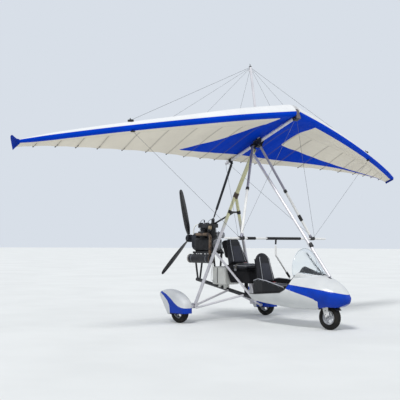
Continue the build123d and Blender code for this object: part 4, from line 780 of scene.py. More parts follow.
@dataclass
class Sail:
    """Wing's cloth: one closed skin over the leading edge tubes and the battens.

    A rib's figures are its share of the half span, the leading tube's x and z, the trailing edge's x and z,
    the nose's radius and the section's rise.
    """

    half_span: float = 4.01
    thickness: float = 0.006
    lower_reach: float = 1.9
    notch_half: float = 0.0463
    notch_x: float = 0.8885
    keel_clear: float = 0.1
    ribs: Table = (
        (0.00, 0.959, 0.118, -0.575, 0.096, 0.058, 0.222),
        (0.22, 0.753, 0.068, -0.530, 0.066, 0.060, 0.188),
        (0.45, 0.507, 0.006, -0.300, -0.050, 0.060, 0.132),
        (0.70, 0.205, -0.058, -0.240, -0.112, 0.052, 0.090),
        (0.90, -0.064, -0.111, -0.310, -0.118, 0.040, 0.055),
        (1.00, -0.206, -0.139, -0.390, -0.132, 0.020, 0.024),
    )
    upper: Line = ((0.66, 0.58), (0.36, 0.98), (0.16, 1.0), (0.06, 0.79), (0.015, 0.44))
    lower: Line = ((0.28, 0.115), (0.55, 0.14), (0.80, 0.045))
    battens: tuple[float, ...] = (0.30, 0.62, 1.01, 1.48, 1.95, 2.40, 2.82, 3.15, 3.44, 3.74)
    double_edge: Line = ((0, 0.27), (0.62, 0.28), (1.5, 0.31), (2.4, 0.36), (3.15, 0.48), (3.74, 0.66), (4.02, 0.75))
    right_front: Line = ((0.25, 0.12), (0.27, 0.264), (0.467, 0.407), (0.661, 0.567), (0.931, 0.684), (1.369, 0.871))
    left_front: Line = ((0.60, 0.569), (1.13, 0.616), (1.69, 0.712), (2.30, 0.795), (4.02, 1.0))
    stripe: tuple[float, float] = (-0.010, 0.096)
    root_gain: float = 0.030
    root_reach: float = 2.4
    middle_field: tuple[float, float] = (-0.255, 0.60)
    side_fields: tuple[float, float] = (-0.22, 0.56)
    blue_rear: tuple[float, float] = (0.872, 1.02)
    rear_run: tuple[float, float] = (2.4, 1.6)
    bell: float = 0.0065
    batten_lift: float = 0.0036
    bay_sink: float = 0.006
    double_lift: float = 0.0022
    scallop: float = 0.016
    nose_corner: int = 6

    def rib(self, share: Array) -> Array:
        """Rib's figures at shares of the half span, (N, 6)."""
        table = np.array(self.ribs)
        return hermite(table[:, 0], table[:, 1:], share)

    def corners(self, share: Array) -> Array:
        """Corners of the section from the trailing edge over the nose and back below, (N, 13, 2)."""
        lead_x, lead_z, trail_x, trail_z, nose, rise = self.rib(share).T
        front = lead_x + nose
        chord = front - trail_x

        def chord_z(c: float) -> Array:
            """Height of the chord line at a share of the chord."""
            return lead_z + (trail_z - lead_z) * c

        edge = self.thickness / 2
        over = [(front - chord * c, chord_z(c) + rise * h) for c, h in self.upper]
        under = [(front - chord * c, chord_z(c) - edge + rise * h) for c, h in self.lower]
        drop = np.where(nose > 0.03, 0.55, 0.5)
        rows = [(trail_x, trail_z + edge), *over, (front, lead_z),
                (lead_x + nose * 0.45, lead_z - nose * 0.8),
                (lead_x - nose * self.lower_reach, lead_z - nose * drop), *under, (trail_x, trail_z - edge)]
        return np.stack([np.stack(row, axis=-1) for row in rows], axis=1)

    def stations(self) -> Array:
        """Places from the middle out to the tip: an even spread, closer beside each batten."""
        offsets = np.array((-0.022, -0.012, -0.007, -0.003, 0.0, 0.003, 0.007, 0.012, 0.022))
        beside = (np.array(self.battens)[:, None] + offsets).ravel()
        even = np.linspace(0.06, self.half_span, 72)
        even = even[np.abs(even[:, None] - np.array(self.battens)).min(axis=1) > 0.024]
        return np.unique(np.concatenate([[0.0, 0.02, self.notch_half - 0.0002, self.notch_half + 0.0002],
                                         beside, even]))

    def bays(self, y: Array) -> tuple[Array, Array]:
        """Distance to the nearest batten, and the squared sine of the share of the bay between two."""
        battens = np.array(self.battens)
        away = np.abs(y[:, None] - battens).min(axis=1)
        edges = np.concatenate([[-battens[0]], battens, [self.half_span + 0.03]])
        bay = np.clip(np.searchsorted(edges, y) - 1, 0, len(edges) - 2)
        share = (y - edges[bay]) / (edges[bay + 1] - edges[bay])
        return away, np.sin(np.pi * np.clip(share, 0, 1)) ** 2

    def zones(self, y: Array, c: Array, chord: Array, girth: Array, below: Array) -> Array:
        """Distance into the blue: inside above zero.

        The blue is the union of a stripe round the leading edge and three fields under the wing, and a
        union takes the larger of the distances, as each field takes the smallest over its edges.
        """
        width = self.stripe[1] + self.root_gain * np.clip(1 - np.abs(y) / self.root_reach, 0, 1)
        stripe = np.minimum(girth - self.stripe[0], width - girth)
        start, run = self.rear_run
        rear = self.blue_rear[0] + (self.blue_rear[1] - self.blue_rear[0]) * np.clip((y - start) / run, 0, 1)
        to_rear = (rear - c) * chord
        middle = np.minimum.reduce([y - self.middle_field[0], self.middle_field[1] - y, to_rear])
        left = np.interp(y, *np.array(self.left_front).T)
        left = np.minimum.reduce([y - self.side_fields[1], (c - left) * chord, to_rear])
        right = np.interp(-y, *np.array(self.right_front).T)
        right = np.minimum.reduce([self.side_fields[0] - y, (c - right) * chord, to_rear])
        fields = np.where(below, np.maximum.reduce([middle, left, right]), -1.0)
        return np.maximum(stripe, fields)

    def form(self) -> Form:
        """Skin: sections through their corners by cubic spans, placed along the span.

        Each batten lifts the cloth by a bell of its distance, the cloth between two battens is drawn in by
        the square of a sine, and the trailing edge is scalloped by the same sine.
        """
        half = self.stations()
        y = np.concatenate([-half[:0:-1], half])
        share = np.abs(y) / self.half_span
        corners = self.corners(share)
        model = self.corners(np.array([0.4]))[0]
        knots = np.concatenate([[0], np.cumsum(np.linalg.norm(np.diff(model, axis=0), axis=1))])
        counts = (9, 10, 7, 6, 5, 5, 5, 7, 9, 9, 8, 7)
        at = np.concatenate([np.linspace(a, b, n, endpoint=False)
                             for a, b, n in zip(knots, knots[1:], counts)] + [knots[-1:]])
        section = hermite(knots, np.moveaxis(corners, 1, 0), at)
        x, z = section[..., 0], section[..., 1]
        lead_x, _, trail_x, _, nose, _ = self.rib(share).T
        front = lead_x + nose
        chord = front - trail_x
        c = (front - x) / chord
        nose_row = int(np.argmin(np.abs(at - knots[self.nose_corner])))
        below = np.broadcast_to((np.arange(len(at)) > nose_row)[:, None], x.shape)
        step = np.hypot(np.diff(x, axis=0), np.diff(z, axis=0))
        girth = np.concatenate([np.zeros((1, len(y))), np.cumsum(step, axis=0)])
        girth = girth - girth[nose_row]
        away, slack = self.bays(np.abs(y))
        hem = np.interp(np.abs(y), *np.array(self.double_edge).T)
        ridge = np.exp(-((away / self.bell) ** 2))
        behind = np.clip((c - np.where(below, hem, 0.10)) / 0.03, 0, 1) * np.clip((1 - c) / 0.004, 0, 1)
        size = 0.35 + 0.65 * np.clip(chord / 0.9, 0, 1)
        sign = np.where(below, -1.0, 1.0)
        z = z + sign * self.batten_lift * ridge * behind
        z = z - self.bay_sink * slack * size * np.clip((c - 0.12) / 0.3, 0, 1) * np.clip((1.02 - c) / 0.2, 0, 1)
        double = self.double_lift * np.clip((c - hem) * chord / 0.004, 0, 1) * np.clip((1 - c) / 0.1, 0, 1)
        z = z + np.where(below, double, 0.0)
        x = x + self.scallop * slack * size * np.clip(c, 0, 1) ** 8
        inner = np.abs(y) < self.notch_half
        z = np.where(inner & below & (c < 0.99), np.maximum(z, self.keel_clear), z)
        x = np.where(inner, np.minimum(x, self.notch_x), x)
        wide = np.broadcast_to(y, x.shape)
        marks = {"blue": self.zones(wide, c, chord, girth, below), "under": np.where(girth > 0.0, 1.0, 0.0),
                 "batten": np.where(c > np.where(below, hem, 0.1), np.broadcast_to(away, x.shape), 0.5),
                 "hem": np.where(below, (c - hem) * chord, 1.0), "uv": np.stack((wide, girth), axis=-1)}
        points = WING.place(x, wide, z)
        rows = np.swapaxes(points, 0, 1)
        return grid(rows, wrap=True, capped=True, marks={k: np.swapaxes(v, 0, 1) for k, v in marks.items()})

    def trailing_point(self, y: float) -> Array:
        """Point of the trailing edge at a place across the span, in the wing's own axes."""
        row = self.rib(np.array([abs(y) / self.half_span]))[0]
        return np.array((row[2], y, row[3]))

    def batten_tips(self) -> Form:
        """Batten ends that stand out of the trailing edge, each under a cap."""
        forms = []
        for y in self.battens:
            end = self.trailing_point(y)
            start = WING.place(end[0] + 0.05, y, end[2] + 0.002)
            tip = WING.place(end[0] - 0.012, y, end[2])
            forms.append(bar(start, tip, 0.0055, 10))
            forms.append(lathe([(0, 0.0062), (0.004, 0.0075), (0.015, 0.0072), (0.018, 0.004)], tip,
                               -WING.axes()[0], 12))
        return joined(forms).both()

    def build(self) -> None:
        """Makes the skin and what sits on its edges."""
        make("sail_skin", self.form(), "wing", Paint.SAIL, crease=55, replaces=("sail",))
        make("batten_tips", self.batten_tips(), "wing", Paint.BLACK_TRIM)


@dataclass
class Pod:
    """Moulded nose pod: an open cockpit edge behind, a closed cowl ahead and an arch over the wheel.

    A row's figures are its place ahead, the heights of floor, widest line and crown, and the half width.
    A hole's figures are its two ends, its radius and its sides.
    """

    rows: Table = (
        (0.690, 0.335, 0.440, 0.560, 0.165),
        (1.050, 0.308, 0.500, 0.800, 0.285),
        (1.600, 0.270, 0.530, 0.812, 0.350),
        (2.000, 0.286, 0.520, 0.752, 0.300),
        (2.250, 0.318, 0.478, 0.640, 0.192),
        (2.400, 0.378, 0.448, 0.500, 0.066),
        (2.420, 0.410, 0.440, 0.462, 0.022),
    )
    flat: float = 0.42
    wall: float = 0.008
    cut: Line = ((0.670, 0.445), (0.860, 0.448), (1.440, 0.500), (1.540, 0.545), (1.600, 0.640), (1.640, 0.840))
    shape: tuple[int, int] = (0, 0)
    cowl_row: int = 0
    floor_count: int = 8
    half_count: int = 56
    lining_rows: int = 14
    lining_columns: int = 42
    band_top: Line = ((1.50, 0.632), (1.603, 0.622), (1.789, 0.604), (1.988, 0.582),
                      (2.159, 0.556), (2.280, 0.533), (2.376, 0.510), (2.45, 0.49))
    band_low: Line = ((1.560, 0.560), (1.679, 0.531), (1.803, 0.498), (1.900, 0.471),
                      (1.984, 0.442), (2.010, 0.429), (2.030, 0.408), (2.45, 0.36))
    band_front: float = 2.080
    holes: tuple[tuple[tuple[float, ...], tuple[float, ...], float, int], ...] = (
        ((2.08, -0.15, 0.173), (2.08, 0.15, 0.173), 0.216, 64),
        ((2.10, 0, 0.66), (2.05, 0, 0.86), 0.0245, 24),
        ((1.86, 0, 0.36), (2.10, 0, 0.735), 0.020, 24),
        ((0.5, 0, 0.3775), (0.9, 0, 0.3875), 0.0305, 32),
    )

    def edge_line(self) -> Array:
        """Left edge of the cockpit opening, from the rear wall to the cowl's crown."""
        points = self.form().points
        return points.reshape(*self.shape, 3)[:self.cowl_row, -1]

    def form(self) -> Form:
        """Skin: half sections from the keel line up to the edge, mirrored, at stations along the pod.

        A half section is a flat floor, an arc through the turned-in flank and an arc over the crown, and it
        is read up to the share of its length at which its height meets the cockpit's edge.
        """
        table = np.array(self.rows)
        ahead = np.unique(np.concatenate([np.linspace(0.69, 1.40, 26), np.linspace(1.40, 1.66, 53),
                                          np.linspace(1.66, 2.25, 30), np.linspace(2.25, 2.42, 26)]))
        low, wide, top, half = hermite(table[:, 0], table[:, 1:], ahead).T
        half = np.maximum(half, 0.02)
        flat = half * self.flat
        share = np.linspace(0, 1, 40)
        first = self.floor_count
        floor = np.stack([np.outer(flat, np.linspace(0, 1, first, endpoint=False)),
                          np.broadcast_to(low[:, None], (len(ahead), first))], axis=-1)
        flank = circle_arc(np.stack((flat, low), -1),
                           np.stack((0.5 * (half * 1.12 + flat), low + 0.36 * (wide - low)), -1),
                           np.stack((half, wide), -1), share[:-1])
        crown = circle_arc(np.stack((half, wide), -1), np.stack((half * 0, top), -1),
                           np.stack((-half, wide), -1), share / 2)
        outline = np.concatenate([floor, flank, crown], axis=1)
        limit = np.interp(ahead, *np.array(self.cut).T)
        count = self.half_count
        self.shape = (len(ahead), 2 * count - 1)
        self.cowl_row = int(np.searchsorted(ahead, self.cut[-1][0]))
        points = np.empty((len(ahead), count, 2))
        for row, (line, height) in enumerate(zip(outline, limit)):
            step = np.concatenate([[0], np.cumsum(np.linalg.norm(np.diff(line, axis=0), axis=1))])
            reached = step[-1] if height >= line[-1, 1] else np.interp(height, line[first:, 1], step[first:])
            at = np.linspace(0, reached, count)
            points[row, :, 0] = np.interp(at, step, line[:, 0])
            points[row, :, 1] = np.interp(at, step, line[:, 1])
        side = np.concatenate([points[:, :0:-1], points], axis=1)
        sign = np.concatenate([-np.ones(count - 1), np.ones(count)])
        y = side[..., 0] * sign
        z = side[..., 1]
        x = np.broadcast_to(ahead[:, None], y.shape)
        top_line = np.interp(x, *np.array(self.band_top).T)
        low_line = np.interp(x, *np.array(self.band_low).T)
        tucked = np.clip(half[:, None] - np.abs(y), 0, 0.12)
        front = 1.5 * (x + 0.6 * tucked - self.band_front)
        marks = {"band": np.minimum(top_line - z, np.maximum(z - low_line, front)),
                 "skirt": np.full(y.shape, -1.0)}
        return grid(np.stack((AXLE_X + x, y, z), axis=-1), capped=True, marks=marks)

    def build(self) -> None:
        """Makes the shell with its wall, cuts the wheel arch and the tubes' holes, and lines the cockpit."""
        shell = make("pod_skin", self.form(), "trike", Paint.POD, crease=30, replaces=("pod_shell",))
        walled(shell, self.wall)
        cut_with(shell, joined([bar(craft(*start), craft(*end), radius, sides)
                                for start, end, radius, sides in self.holes]))
        skin = self.form().points.reshape(*self.shape, 3)[:self.cowl_row + self.lining_rows]
        keel = skin[:, self.half_count - 1]
        middle = np.stack((keel[:, 0], 0 * keel[:, 0], 0.5 * (keel[:, 2] + skin[:, -1, 2])), axis=-1)
        inner = skin + unit(middle[:, None] - skin) * (self.wall + 0.0012)
        sides = grid(inner[:, :self.lining_columns]) + grid(inner[:, -self.lining_columns:])
        lining = make("pod_lining", sides, "trike", Paint.TUB, crease=60)
        walled(lining, 0.0008, 0)


@dataclass
class Spats:
    """Teardrop covers over the main wheels, open below, with a blue sweep and a dark front skirt."""

    half_track: float = 0.96
    half: float = 0.0875
    wall: float = 0.004
    tail: tuple[float, float] = (-0.453, 0.440)
    crown: tuple[float, float] = (-0.170, 0.498)
    brow: tuple[float, float] = (0.205, 0.312)
    low_front: tuple[float, float] = (0.208, 0.150)
    low_back: tuple[float, float] = (-0.212, 0.122)
    sweep_top: Line = ((-0.46, 0.482), (-0.353, 0.462), (-0.22, 0.424), (-0.118, 0.366),
                       (-0.03, 0.300), (0.043, 0.259), (0.12, 0.238), (0.208, 0.230))
    sweep_low: Line = ((-0.46, 0.468), (-0.437, 0.460), (-0.292, 0.398), (-0.19, 0.325),
                       (-0.148, 0.262), (-0.132, 0.19), (-0.128, 0.09))
    skirt_z: float = 0.150
    skirt_x: float = -0.128
    narrow_from: float = -0.12
    narrow_run: float = 0.34
    narrow_by: float = 0.42

    def form(self) -> Form:
        """Skin: the smoothed side outline drawn in towards a point of the open foot, over a rounded profile.

        A point is the foot's middle plus the outline's reach times the profile's share, and its side is the
        profile's width, which narrows towards the tail.
        """
        arc = circle_arc(np.array([self.tail]), np.array([self.crown]), np.array([self.brow]),
                         np.linspace(0, 1, 76))[0]
        tail_run = np.linspace(self.low_back, self.tail, 44, endpoint=False)
        front_run = np.linspace(self.brow, self.low_front, 18)[1:]
        outline = eased(np.concatenate([tail_run, arc, front_run]), 18)
        share = -self.low_back[0] / (self.low_front[0] - self.low_back[0])
        foot = np.array((0.0, self.low_back[1] + share * (self.low_front[1] - self.low_back[1])))
        profile = np.array(((0.02, 1), (0.3, 1.0), (0.6, 1.0), (0.78, 0.985), (0.87, 0.93), (0.93, 0.82), (0.97, 0.65),
                            (0.99, 0.45), (1.0, 0.2)))
        fine = np.concatenate([np.linspace(0.02, 0.78, 24), [0.825, 0.87, 0.90, 0.93, 0.95, 0.97, 0.98, 0.99, 1.0]])
        profile = np.stack((fine, np.interp(fine, *profile.T)), axis=-1)
        profile = np.concatenate([profile * (1, -1), [(1.0, 0.0)], profile[::-1]])
        reach = outline - foot
        flat = foot + reach[:, None] * profile[None, :, :1]
        narrow = 1 - self.narrow_by * np.clip((self.narrow_from - flat[..., 0]) / self.narrow_run, 0, 1) ** 1.6
        y = profile[None, :, 1] * self.half * narrow
        points = np.stack((AXLE_X + flat[..., 0], y, flat[..., 1]), axis=-1)
        top, low = (np.interp(flat[..., 0], *np.array(line).T) for line in (self.sweep_top, self.sweep_low))
        marks = {"band": np.minimum(top - flat[..., 1], flat[..., 1] - low),
                 "skirt": np.minimum(self.skirt_z - flat[..., 1], flat[..., 0] - self.skirt_x)}
        return grid(points, marks=marks)

    def build(self) -> None:
        """Makes both spats with their walls."""
        one = self.form()
        pair = one.moved((0, -self.half_track, 0)) + one.moved((0, self.half_track, 0))
        skin = make("spat_skins", pair, "trike", Paint.SPAT, crease=50, replaces=("wheel_spats",))
        walled(skin, self.wall)


@dataclass
class Wheels:
    """Three alike wheels: grooved tyres, with nuts, rings and valves on their rims."""

    outer: float = 0.173
    bead: float = 0.1003
    half: float = 0.052
    nose_ahead: float = 2.08
    half_track: float = 0.96
    grooves: tuple[float, float] = (0.0, 0.017)
    groove_half: float = 0.0022
    groove_depth: float = 0.003
    bar_depth: float = 0.0025

    def places(self) -> tuple[tuple[str, str, Array], ...]:
        """Name, body and centre of each wheel."""
        return (("nose", "nose_wheel", craft(self.nose_ahead, 0, self.outer)),
                ("right", "right_wheel", craft(0, -self.half_track, self.outer)),
                ("left", "left_wheel", craft(0, self.half_track, self.outer)))

    def tyre(self, centre: Array) -> Form:
        """Tyre: a profile of half width and height turned about the axle.

        The tread sinks by 3 mm in three round grooves, and by 2.5 mm where a sine of the turn, shifted from
        side to side, passes a limit between the outer grooves and the shoulders.
        """
        turn = np.linspace(0, 2 * np.pi, 216, endpoint=False)
        flank = np.array(((0.63, 0.0), (0.80, 0.06), (0.93, 0.2), (1.0, 0.40), (0.95, 0.6), (0.84, 0.76), (0.70, 0.87),
                          (0.5, 0.945), (0.25, 0.985), (0.0, 1.0)))
        knots = np.arange(len(flank))
        half = hermite(knots, flank, np.linspace(0, len(flank) - 1, 40))
        line = np.concatenate([half * (-1, 1), half[-2::-1]])
        y = line[:, 0] * self.half
        radius = self.bead + line[:, 1] * (self.outer - self.bead)
        groove = sum(np.exp(-(((np.abs(y) - place) / self.groove_half) ** 4)) for place in self.grooves)
        bars = (np.sin(36 * turn[:, None] + np.sign(y)[None] * 1.3 + 40 * y[None]) > 0.55)
        shoulder = (np.abs(y) > 0.021) & (line[:, 1] > 0.7)
        depth = self.groove_depth * groove[None] * (line[:, 1] > 0.8) + self.bar_depth * bars * shoulder[None]
        r = radius[None] - depth
        rings = 0.0008 * np.sin(line[:, 1] * 60) * ((line[:, 1] > 0.15) & (line[:, 1] < 0.55))
        points = np.stack((r * np.cos(turn)[:, None], np.broadcast_to(y + np.sign(y) * rings, r.shape),
                           r * np.sin(turn)[:, None]), axis=-1) + centre
        band = np.concatenate([points, points[:1]])
        inner = band[:, [0, -1]][:, ::-1]
        return grid(band) + grid(inner)

    def hub(self, centre: Array) -> Form:
        """Bolts round the hub, a raised ring on each side of the rim and the valve."""
        forms = []
        for side in SIDES:
            out = side * Y_AXIS
            forms += nut_circle(centre + out * 0.0482, out, 0.0165, 5, 0.3, 0.008, 0.004)
            ring = [(0.0, 0.0925), (0.0035, 0.0925), (0.0035, 0.0965), (0.0, 0.0965)]
            forms.append(lathe(ring, centre + out * 0.0405, out, 64, ring=True))
        valve = centre + (0.062, 0.028, 0.062)
        forms.append(bar(valve, valve + (-0.012, 0.014, -0.012), 0.0035, 10))
        return joined(forms)

    def build(self) -> None:
        """Makes the three tyres and what is bolted to their rims."""
        for name, body, centre in self.places():
            make(f"{name}_tyre_tread", self.tyre(centre), body, Paint.RUBBER, crease=32,
                 replaces=(f"{name}_tyre",))
            make(f"{name}_hub_bolts", self.hub(centre), body, Paint.STEEL)


@dataclass
class Propeller:
    """Three twisted blades in a two-plate hub.

    A section's figures are its share of the radius, chord, pitch in degrees and thickness over chord.
    """

    centre: Array = field(default_factory=lambda: craft(-0.85, 0, 1.276))
    radius: float = 0.836
    turn: float = 14.0
    drawn: float = 0.13
    sections: Table = ((0.08, 0.046, 34, 0.30), (0.14, 0.066, 31, 0.20),
                       (0.25, 0.092, 26, 0.15), (0.60, 0.100, 17, 0.12),
                       (0.85, 0.084, 13, 0.10), (0.95, 0.066, 11.5, 0.10),
                       (0.985, 0.042, 11, 0.10), (0.998, 0.012, 11, 0.12))

    def blade(self, turn: float) -> Form:
        """Blade: an aerofoil section turned by the pitch at each share of the radius.

        At a share s of the chord the section's half thickness runs as 0.30 times the root of s, less 0.13 s
        and less 0.17 s squared, and its camber as s less s squared.
        """
        table = np.array(self.sections)
        share = np.unique(np.concatenate([np.linspace(0.08, 0.95, 40), np.linspace(0.95, 0.998, 14)]))
        chord, pitch, thick = hermite(table[:, 0], table[:, 1:], share).T
        pitch = np.radians(pitch)
        s = 0.5 * (1 - np.cos(np.linspace(0, np.pi, 15)))
        half = 1.1 * (0.30 * np.sqrt(s) - 0.13 * s - 0.17 * s**2)
        camber = 0.2 * s * (1 - s)
        around = np.concatenate([np.stack((s, camber + half), -1), np.stack((s, camber - half), -1)[-2:0:-1]])
        reach = np.array((0, -math.sin(turn), math.cos(turn)))
        across = np.array((0, math.cos(turn), math.sin(turn)))
        aft = X_AXIS
        run = np.cos(pitch)[:, None] * across + np.sin(pitch)[:, None] * aft
        lift = np.cos(pitch)[:, None] * aft - np.sin(pitch)[:, None] * across
        wide = (around[:, 0] - 0.5)[None, :, None] * chord[:, None, None] * run[:, None]
        deep = around[:, 1][None, :, None] * (thick * chord / self.drawn)[:, None, None] * 0.5 * lift[:, None]
        points = self.centre + reach * (share * self.radius)[:, None, None] + wide + deep
        return grid(points, wrap=True, capped=True)

    def build(self) -> None:
        """Makes the blades and the hub's bolts."""
        turns = [math.radians(self.turn + 120 * n) for n in range(3)]
        make("propeller_blades", joined([self.blade(t) for t in turns]), "propeller", Paint.BLADE,
             crease=60, replaces=("prop_blades",))
        bolts = nut_circle(self.centre - 0.0352 * X_AXIS, (-1, 0, 0), 0.040, 6, 0.2, 0.011, 0.004)
        make("propeller_bolts", bolts, "propeller", Paint.STEEL)


@dataclass
class Windscreen:
    """Clear screen: arcs that stand on the cowl, with a bead round its rear edge and a seal at its foot, both pale as
    a painted highlight.

    A row's figures are its place ahead, the heights of foot and top, and the half width.
    """

    rows: Table = ((1.632, 0.700, 1.134, 0.236), (1.800, 0.680, 0.952, 0.198), (1.990, 0.640, 0.762, 0.102))
    wall: float = 0.003
    inset: float = 0.001
    hood: float = 0.060
    coaming: float = 0.070
    foot_gap: float = 0.0006
    shield_half: float = 0.118
    shield_taper: float = 0.03

    def edge_and_arc(self) -> tuple[Array, Array]:
        """Foot points and arc points of each row.

        Both the screen and the cowl are circles about the middle plane there, so they meet at the height
        (z0^2 - z1^2 - r0^2 + r1^2) / (2 (z0 - z1)), with z0 and r0 the cowl's centre and radius.
        """
        table = np.array(self.rows)
        ahead = np.linspace(table[0, 0], table[-1, 0] - 0.004, 34)
        foot, top, half = hermite(table[:, 0], table[:, 1:], ahead).T
        height = top - foot
        radius = (half**2 + height**2) / (2 * height)
        middle = top - radius
        cowl_radius, cowl_middle = self.cowl_circle(ahead)
        cowl_radius = cowl_radius + self.foot_gap
        meet = (cowl_middle**2 - middle**2 - cowl_radius**2 + radius**2) / (2 * (cowl_middle - middle))
        reach = np.sqrt(np.maximum(radius**2 - (meet - middle) ** 2, 1e-6))
        start = np.arctan2(meet - middle, reach)
        turn = start[:, None] + (np.pi - 2 * start)[:, None] * np.linspace(0, 1, 61)[None]
        arc = np.stack((np.broadcast_to(AXLE_X + ahead[:, None], turn.shape),
                        (radius - self.inset)[:, None] * np.cos(turn),
                        middle[:, None] + (radius - self.inset)[:, None] * np.sin(turn)), axis=-1)
        return np.concatenate([arc[:, 0], arc[::-1, -1]]), arc

    def build(self) -> None:
        """Makes the screen, its bead, seal and screws, then what stands beside it."""
        foot, arc = self.edge_and_arc()
        screen = make("screen_sheet", grid(arc), "trike", Paint.SCREEN, crease=60,
                      replaces=("windscreen",))
        walled(screen, self.wall)
        # Bead and seal are painted pale, a painted highlight along the screen's edges.
        make("screen_bead", sweep(arc[0], 0.0042, 10), "trike", Paint.BEAD, crease=60)
        make("screen_seal", sweep(foot, 0.0046, 8), "trike", Paint.BEAD, crease=60)
        spots = np.concatenate([arc[2:31:7, 2], arc[2:31:7, -3]])
        middle = np.array((0, 0, 0.78))
        screws = [lathe([(0, 0.006), (0.002, 0.006), (0.0035, 0.003)], spot,
                        unit((spot - middle) * (0, 1, 1)), 14) for spot in spots]
        make("screen_screws", screws, "trike", Paint.STEEL)
        self.coamings(arc)
        self.stays()
        self.shield(foot)

    def stays(self) -> None:
        """Two slim tubes behind the screen with a strip between them."""
        line = smooth_path(np.stack([craft(1.970, 0, 0.7655), craft(1.83, 0, 0.889), craft(1.66, 0, 1.070)]), 8)
        stays = [sweep(line + (0, y, 0), 0.0065, 12) for y in (-0.016, 0.016)]
        make("screen_stays", stays, "trike", Paint.WHITE_TUBE, crease=60)
        make("screen_stay_strip", sweep(line, 0.0075, 12, flat=0.5, hint=np.array((0.5, 0, 1.0))), "trike",
             Paint.BLACK_TRIM, crease=60)

    def shield(self, foot: Array) -> None:
        """Glare shield over the instruments: the cowl's surface between the screen's feet, humped behind."""
        rows = len(foot) // 2
        left = foot[:rows]
        share = np.linspace(-1, 1, 33)
        place = np.linspace(0, 1, rows)[:, None]
        reach = np.minimum(np.abs(left[:, 1:2]) - 0.006, self.shield_half - self.shield_taper * place)
        ahead = np.broadcast_to(left[:, :1], (rows, 33))
        across = reach * share
        hood = self.hood * (1 - share**2) * np.clip(1 - place * 1.15, 0, 1) ** 1.3
        up = self.cowl_z(ahead - AXLE_X, across) + 0.0022 + hood
        shield = np.stack((ahead, across, up), axis=-1)[:-2]
        cover = make("glare_shield", grid(shield), "trike", Paint.PANEL, crease=60)
        walled(cover, 0.0015)

    def coamings(self, arc: Array) -> None:
        """White panels outside the screen's foot that carry the cowl's line up to the glare shield."""
        along = np.linspace(0, 1, len(arc))
        lift = 0.004 + self.coaming * np.minimum(along / 0.22, (1 - along) / 0.78)
        steps = np.linspace(0, 1, 9)
        panel = np.empty((len(arc), len(steps), 3))
        for row, (line, rise) in enumerate(zip(arc[:, :30], lift)):
            up = line[0, 2] + rise * steps
            panel[row] = np.stack((line[0, 0] + 0 * up, np.interp(up, line[:, 2], line[:, 1]) + 0.0028, up), axis=-1)
        plain = {"band": np.full(panel.shape[:2], -1.0), "skirt": np.full(panel.shape[:2], -1.0)}
        sides = [grid(panel, marks=plain), grid(panel * (1, -1, 1), marks=plain)]
        cover = make("screen_coaming", sides, "trike", Paint.POD, crease=60)
        walled(cover, 0.0018, 0)

    def cowl_circle(self, ahead: Array) -> tuple[Array, Array]:
        """Radius of the cowl's circle and its centre's height, at places ahead of the axle."""
        table = np.array(Pod.rows)
        _, wide, crown, half = hermite(table[:, 0], table[:, 1:], np.clip(ahead, table[0, 0], table[-1, 0])).T
        rise = crown - wide
        radius = (half**2 + rise**2) / (2 * rise)
        return radius, crown - radius

    def cowl_z(self, ahead: Array, across: Array) -> Array:
        """Height of the cowl's circle at places ahead and across."""
        radius, middle = self.cowl_circle(ahead.ravel())
        return (middle + np.sqrt(radius**2 - across.ravel() ** 2)).reshape(ahead.shape)


@dataclass(frozen=True)
class SeatShape:
    """Sizes of one seat: the back's foot, its height, lean and widths, and the cushion's length."""

    name: str
    ahead: float
    up: float
    height: float
    lean: float
    foot: float
    top: float
    length: float

    def axes(self) -> tuple[Array, Array, Array]:
        """Across, up along the back, and out of its front face."""
        lean = math.radians(self.lean)
        return (Y_AXIS, math.cos(lean) * Z_AXIS - math.sin(lean) * X_AXIS,
                math.cos(lean) * X_AXIS + math.sin(lean) * Z_AXIS)

    def back_outline(self, inset: float) -> Array:
        """Back's outline in its plane, tapering upwards into a round top, drawn in by an inset."""
        shoulder = 0.8 * self.height
        arc = circle_arc(np.array([(self.top / 2, shoulder)]), np.array([(0, self.height)]),
                         np.array([(-self.top / 2, shoulder)]), np.linspace(0, 1, 25))[0]
        side = np.linspace((self.foot / 2, 0.004), (self.top / 2, shoulder), 14, endpoint=False)
        foot = np.linspace((-self.foot / 2, 0.004), (self.foot / 2, 0.004), 12)[1:-1]
        line = np.concatenate([side, arc, (side * (-1, 1))[::-1], foot])
        return inset_line(line, inset)


def inset_line(line: Array, inset: float) -> Array:
    """Closed line drawn in along its normals, towards its middle."""
    run = unit(np.roll(line, -1, axis=0) - np.roll(line, 1, axis=0))
    normal = np.stack((-run[:, 1], run[:, 0]), axis=-1)
    towards = np.sign(((line.mean(axis=0) - line) * normal).sum(axis=1)).mean()
    return line + normal * inset * (1 if towards > 0 else -1)


def pillow(outline: Array, thickness: float, origin: Array, across: Array, along: Array, crown: float,
           roll: float = 0.024) -> Form:
    """Crowned pad: its rim is rolled by a quarter circle, and each face swells towards its middle.

    A ring's scale runs from one at the rim to nearly nothing in the middle, and a face's height there is
    half the thickness plus the crown times one less the scale squared.
    """
    middle = outline.mean(axis=0)
    reach = np.linalg.norm(outline - middle, axis=1, keepdims=True)
    quarter = np.linspace(0, np.pi / 2, 6)
    edge = roll * (1 - np.cos(quarter))
    rise = (thickness / 2 - roll) + roll * np.sin(quarter)
    scale = np.concatenate([np.ones(6), np.linspace(0.9, 0.06, 9)])
    inset = np.concatenate([edge, np.full(9, roll)])
    height = np.concatenate([rise, thickness / 2 + crown * (1 - np.linspace(0.9, 0.06, 9) ** 2)])
    lift = np.cross(unit(across), unit(along))
    rings = []
    for side in (-1, 1):
        order = slice(None, None, -1) if side < 0 else slice(None)
        for share, drawn, tall in zip(scale[order], inset[order], height[order]):
            flat = middle + (outline - middle) * share * (1 - drawn / reach)
            rings.append(origin + flat[:, :1] * across + flat[:, 1:] * along + side * tall * lift)
    return grid(np.stack(rings), wrap=True, capped=True)


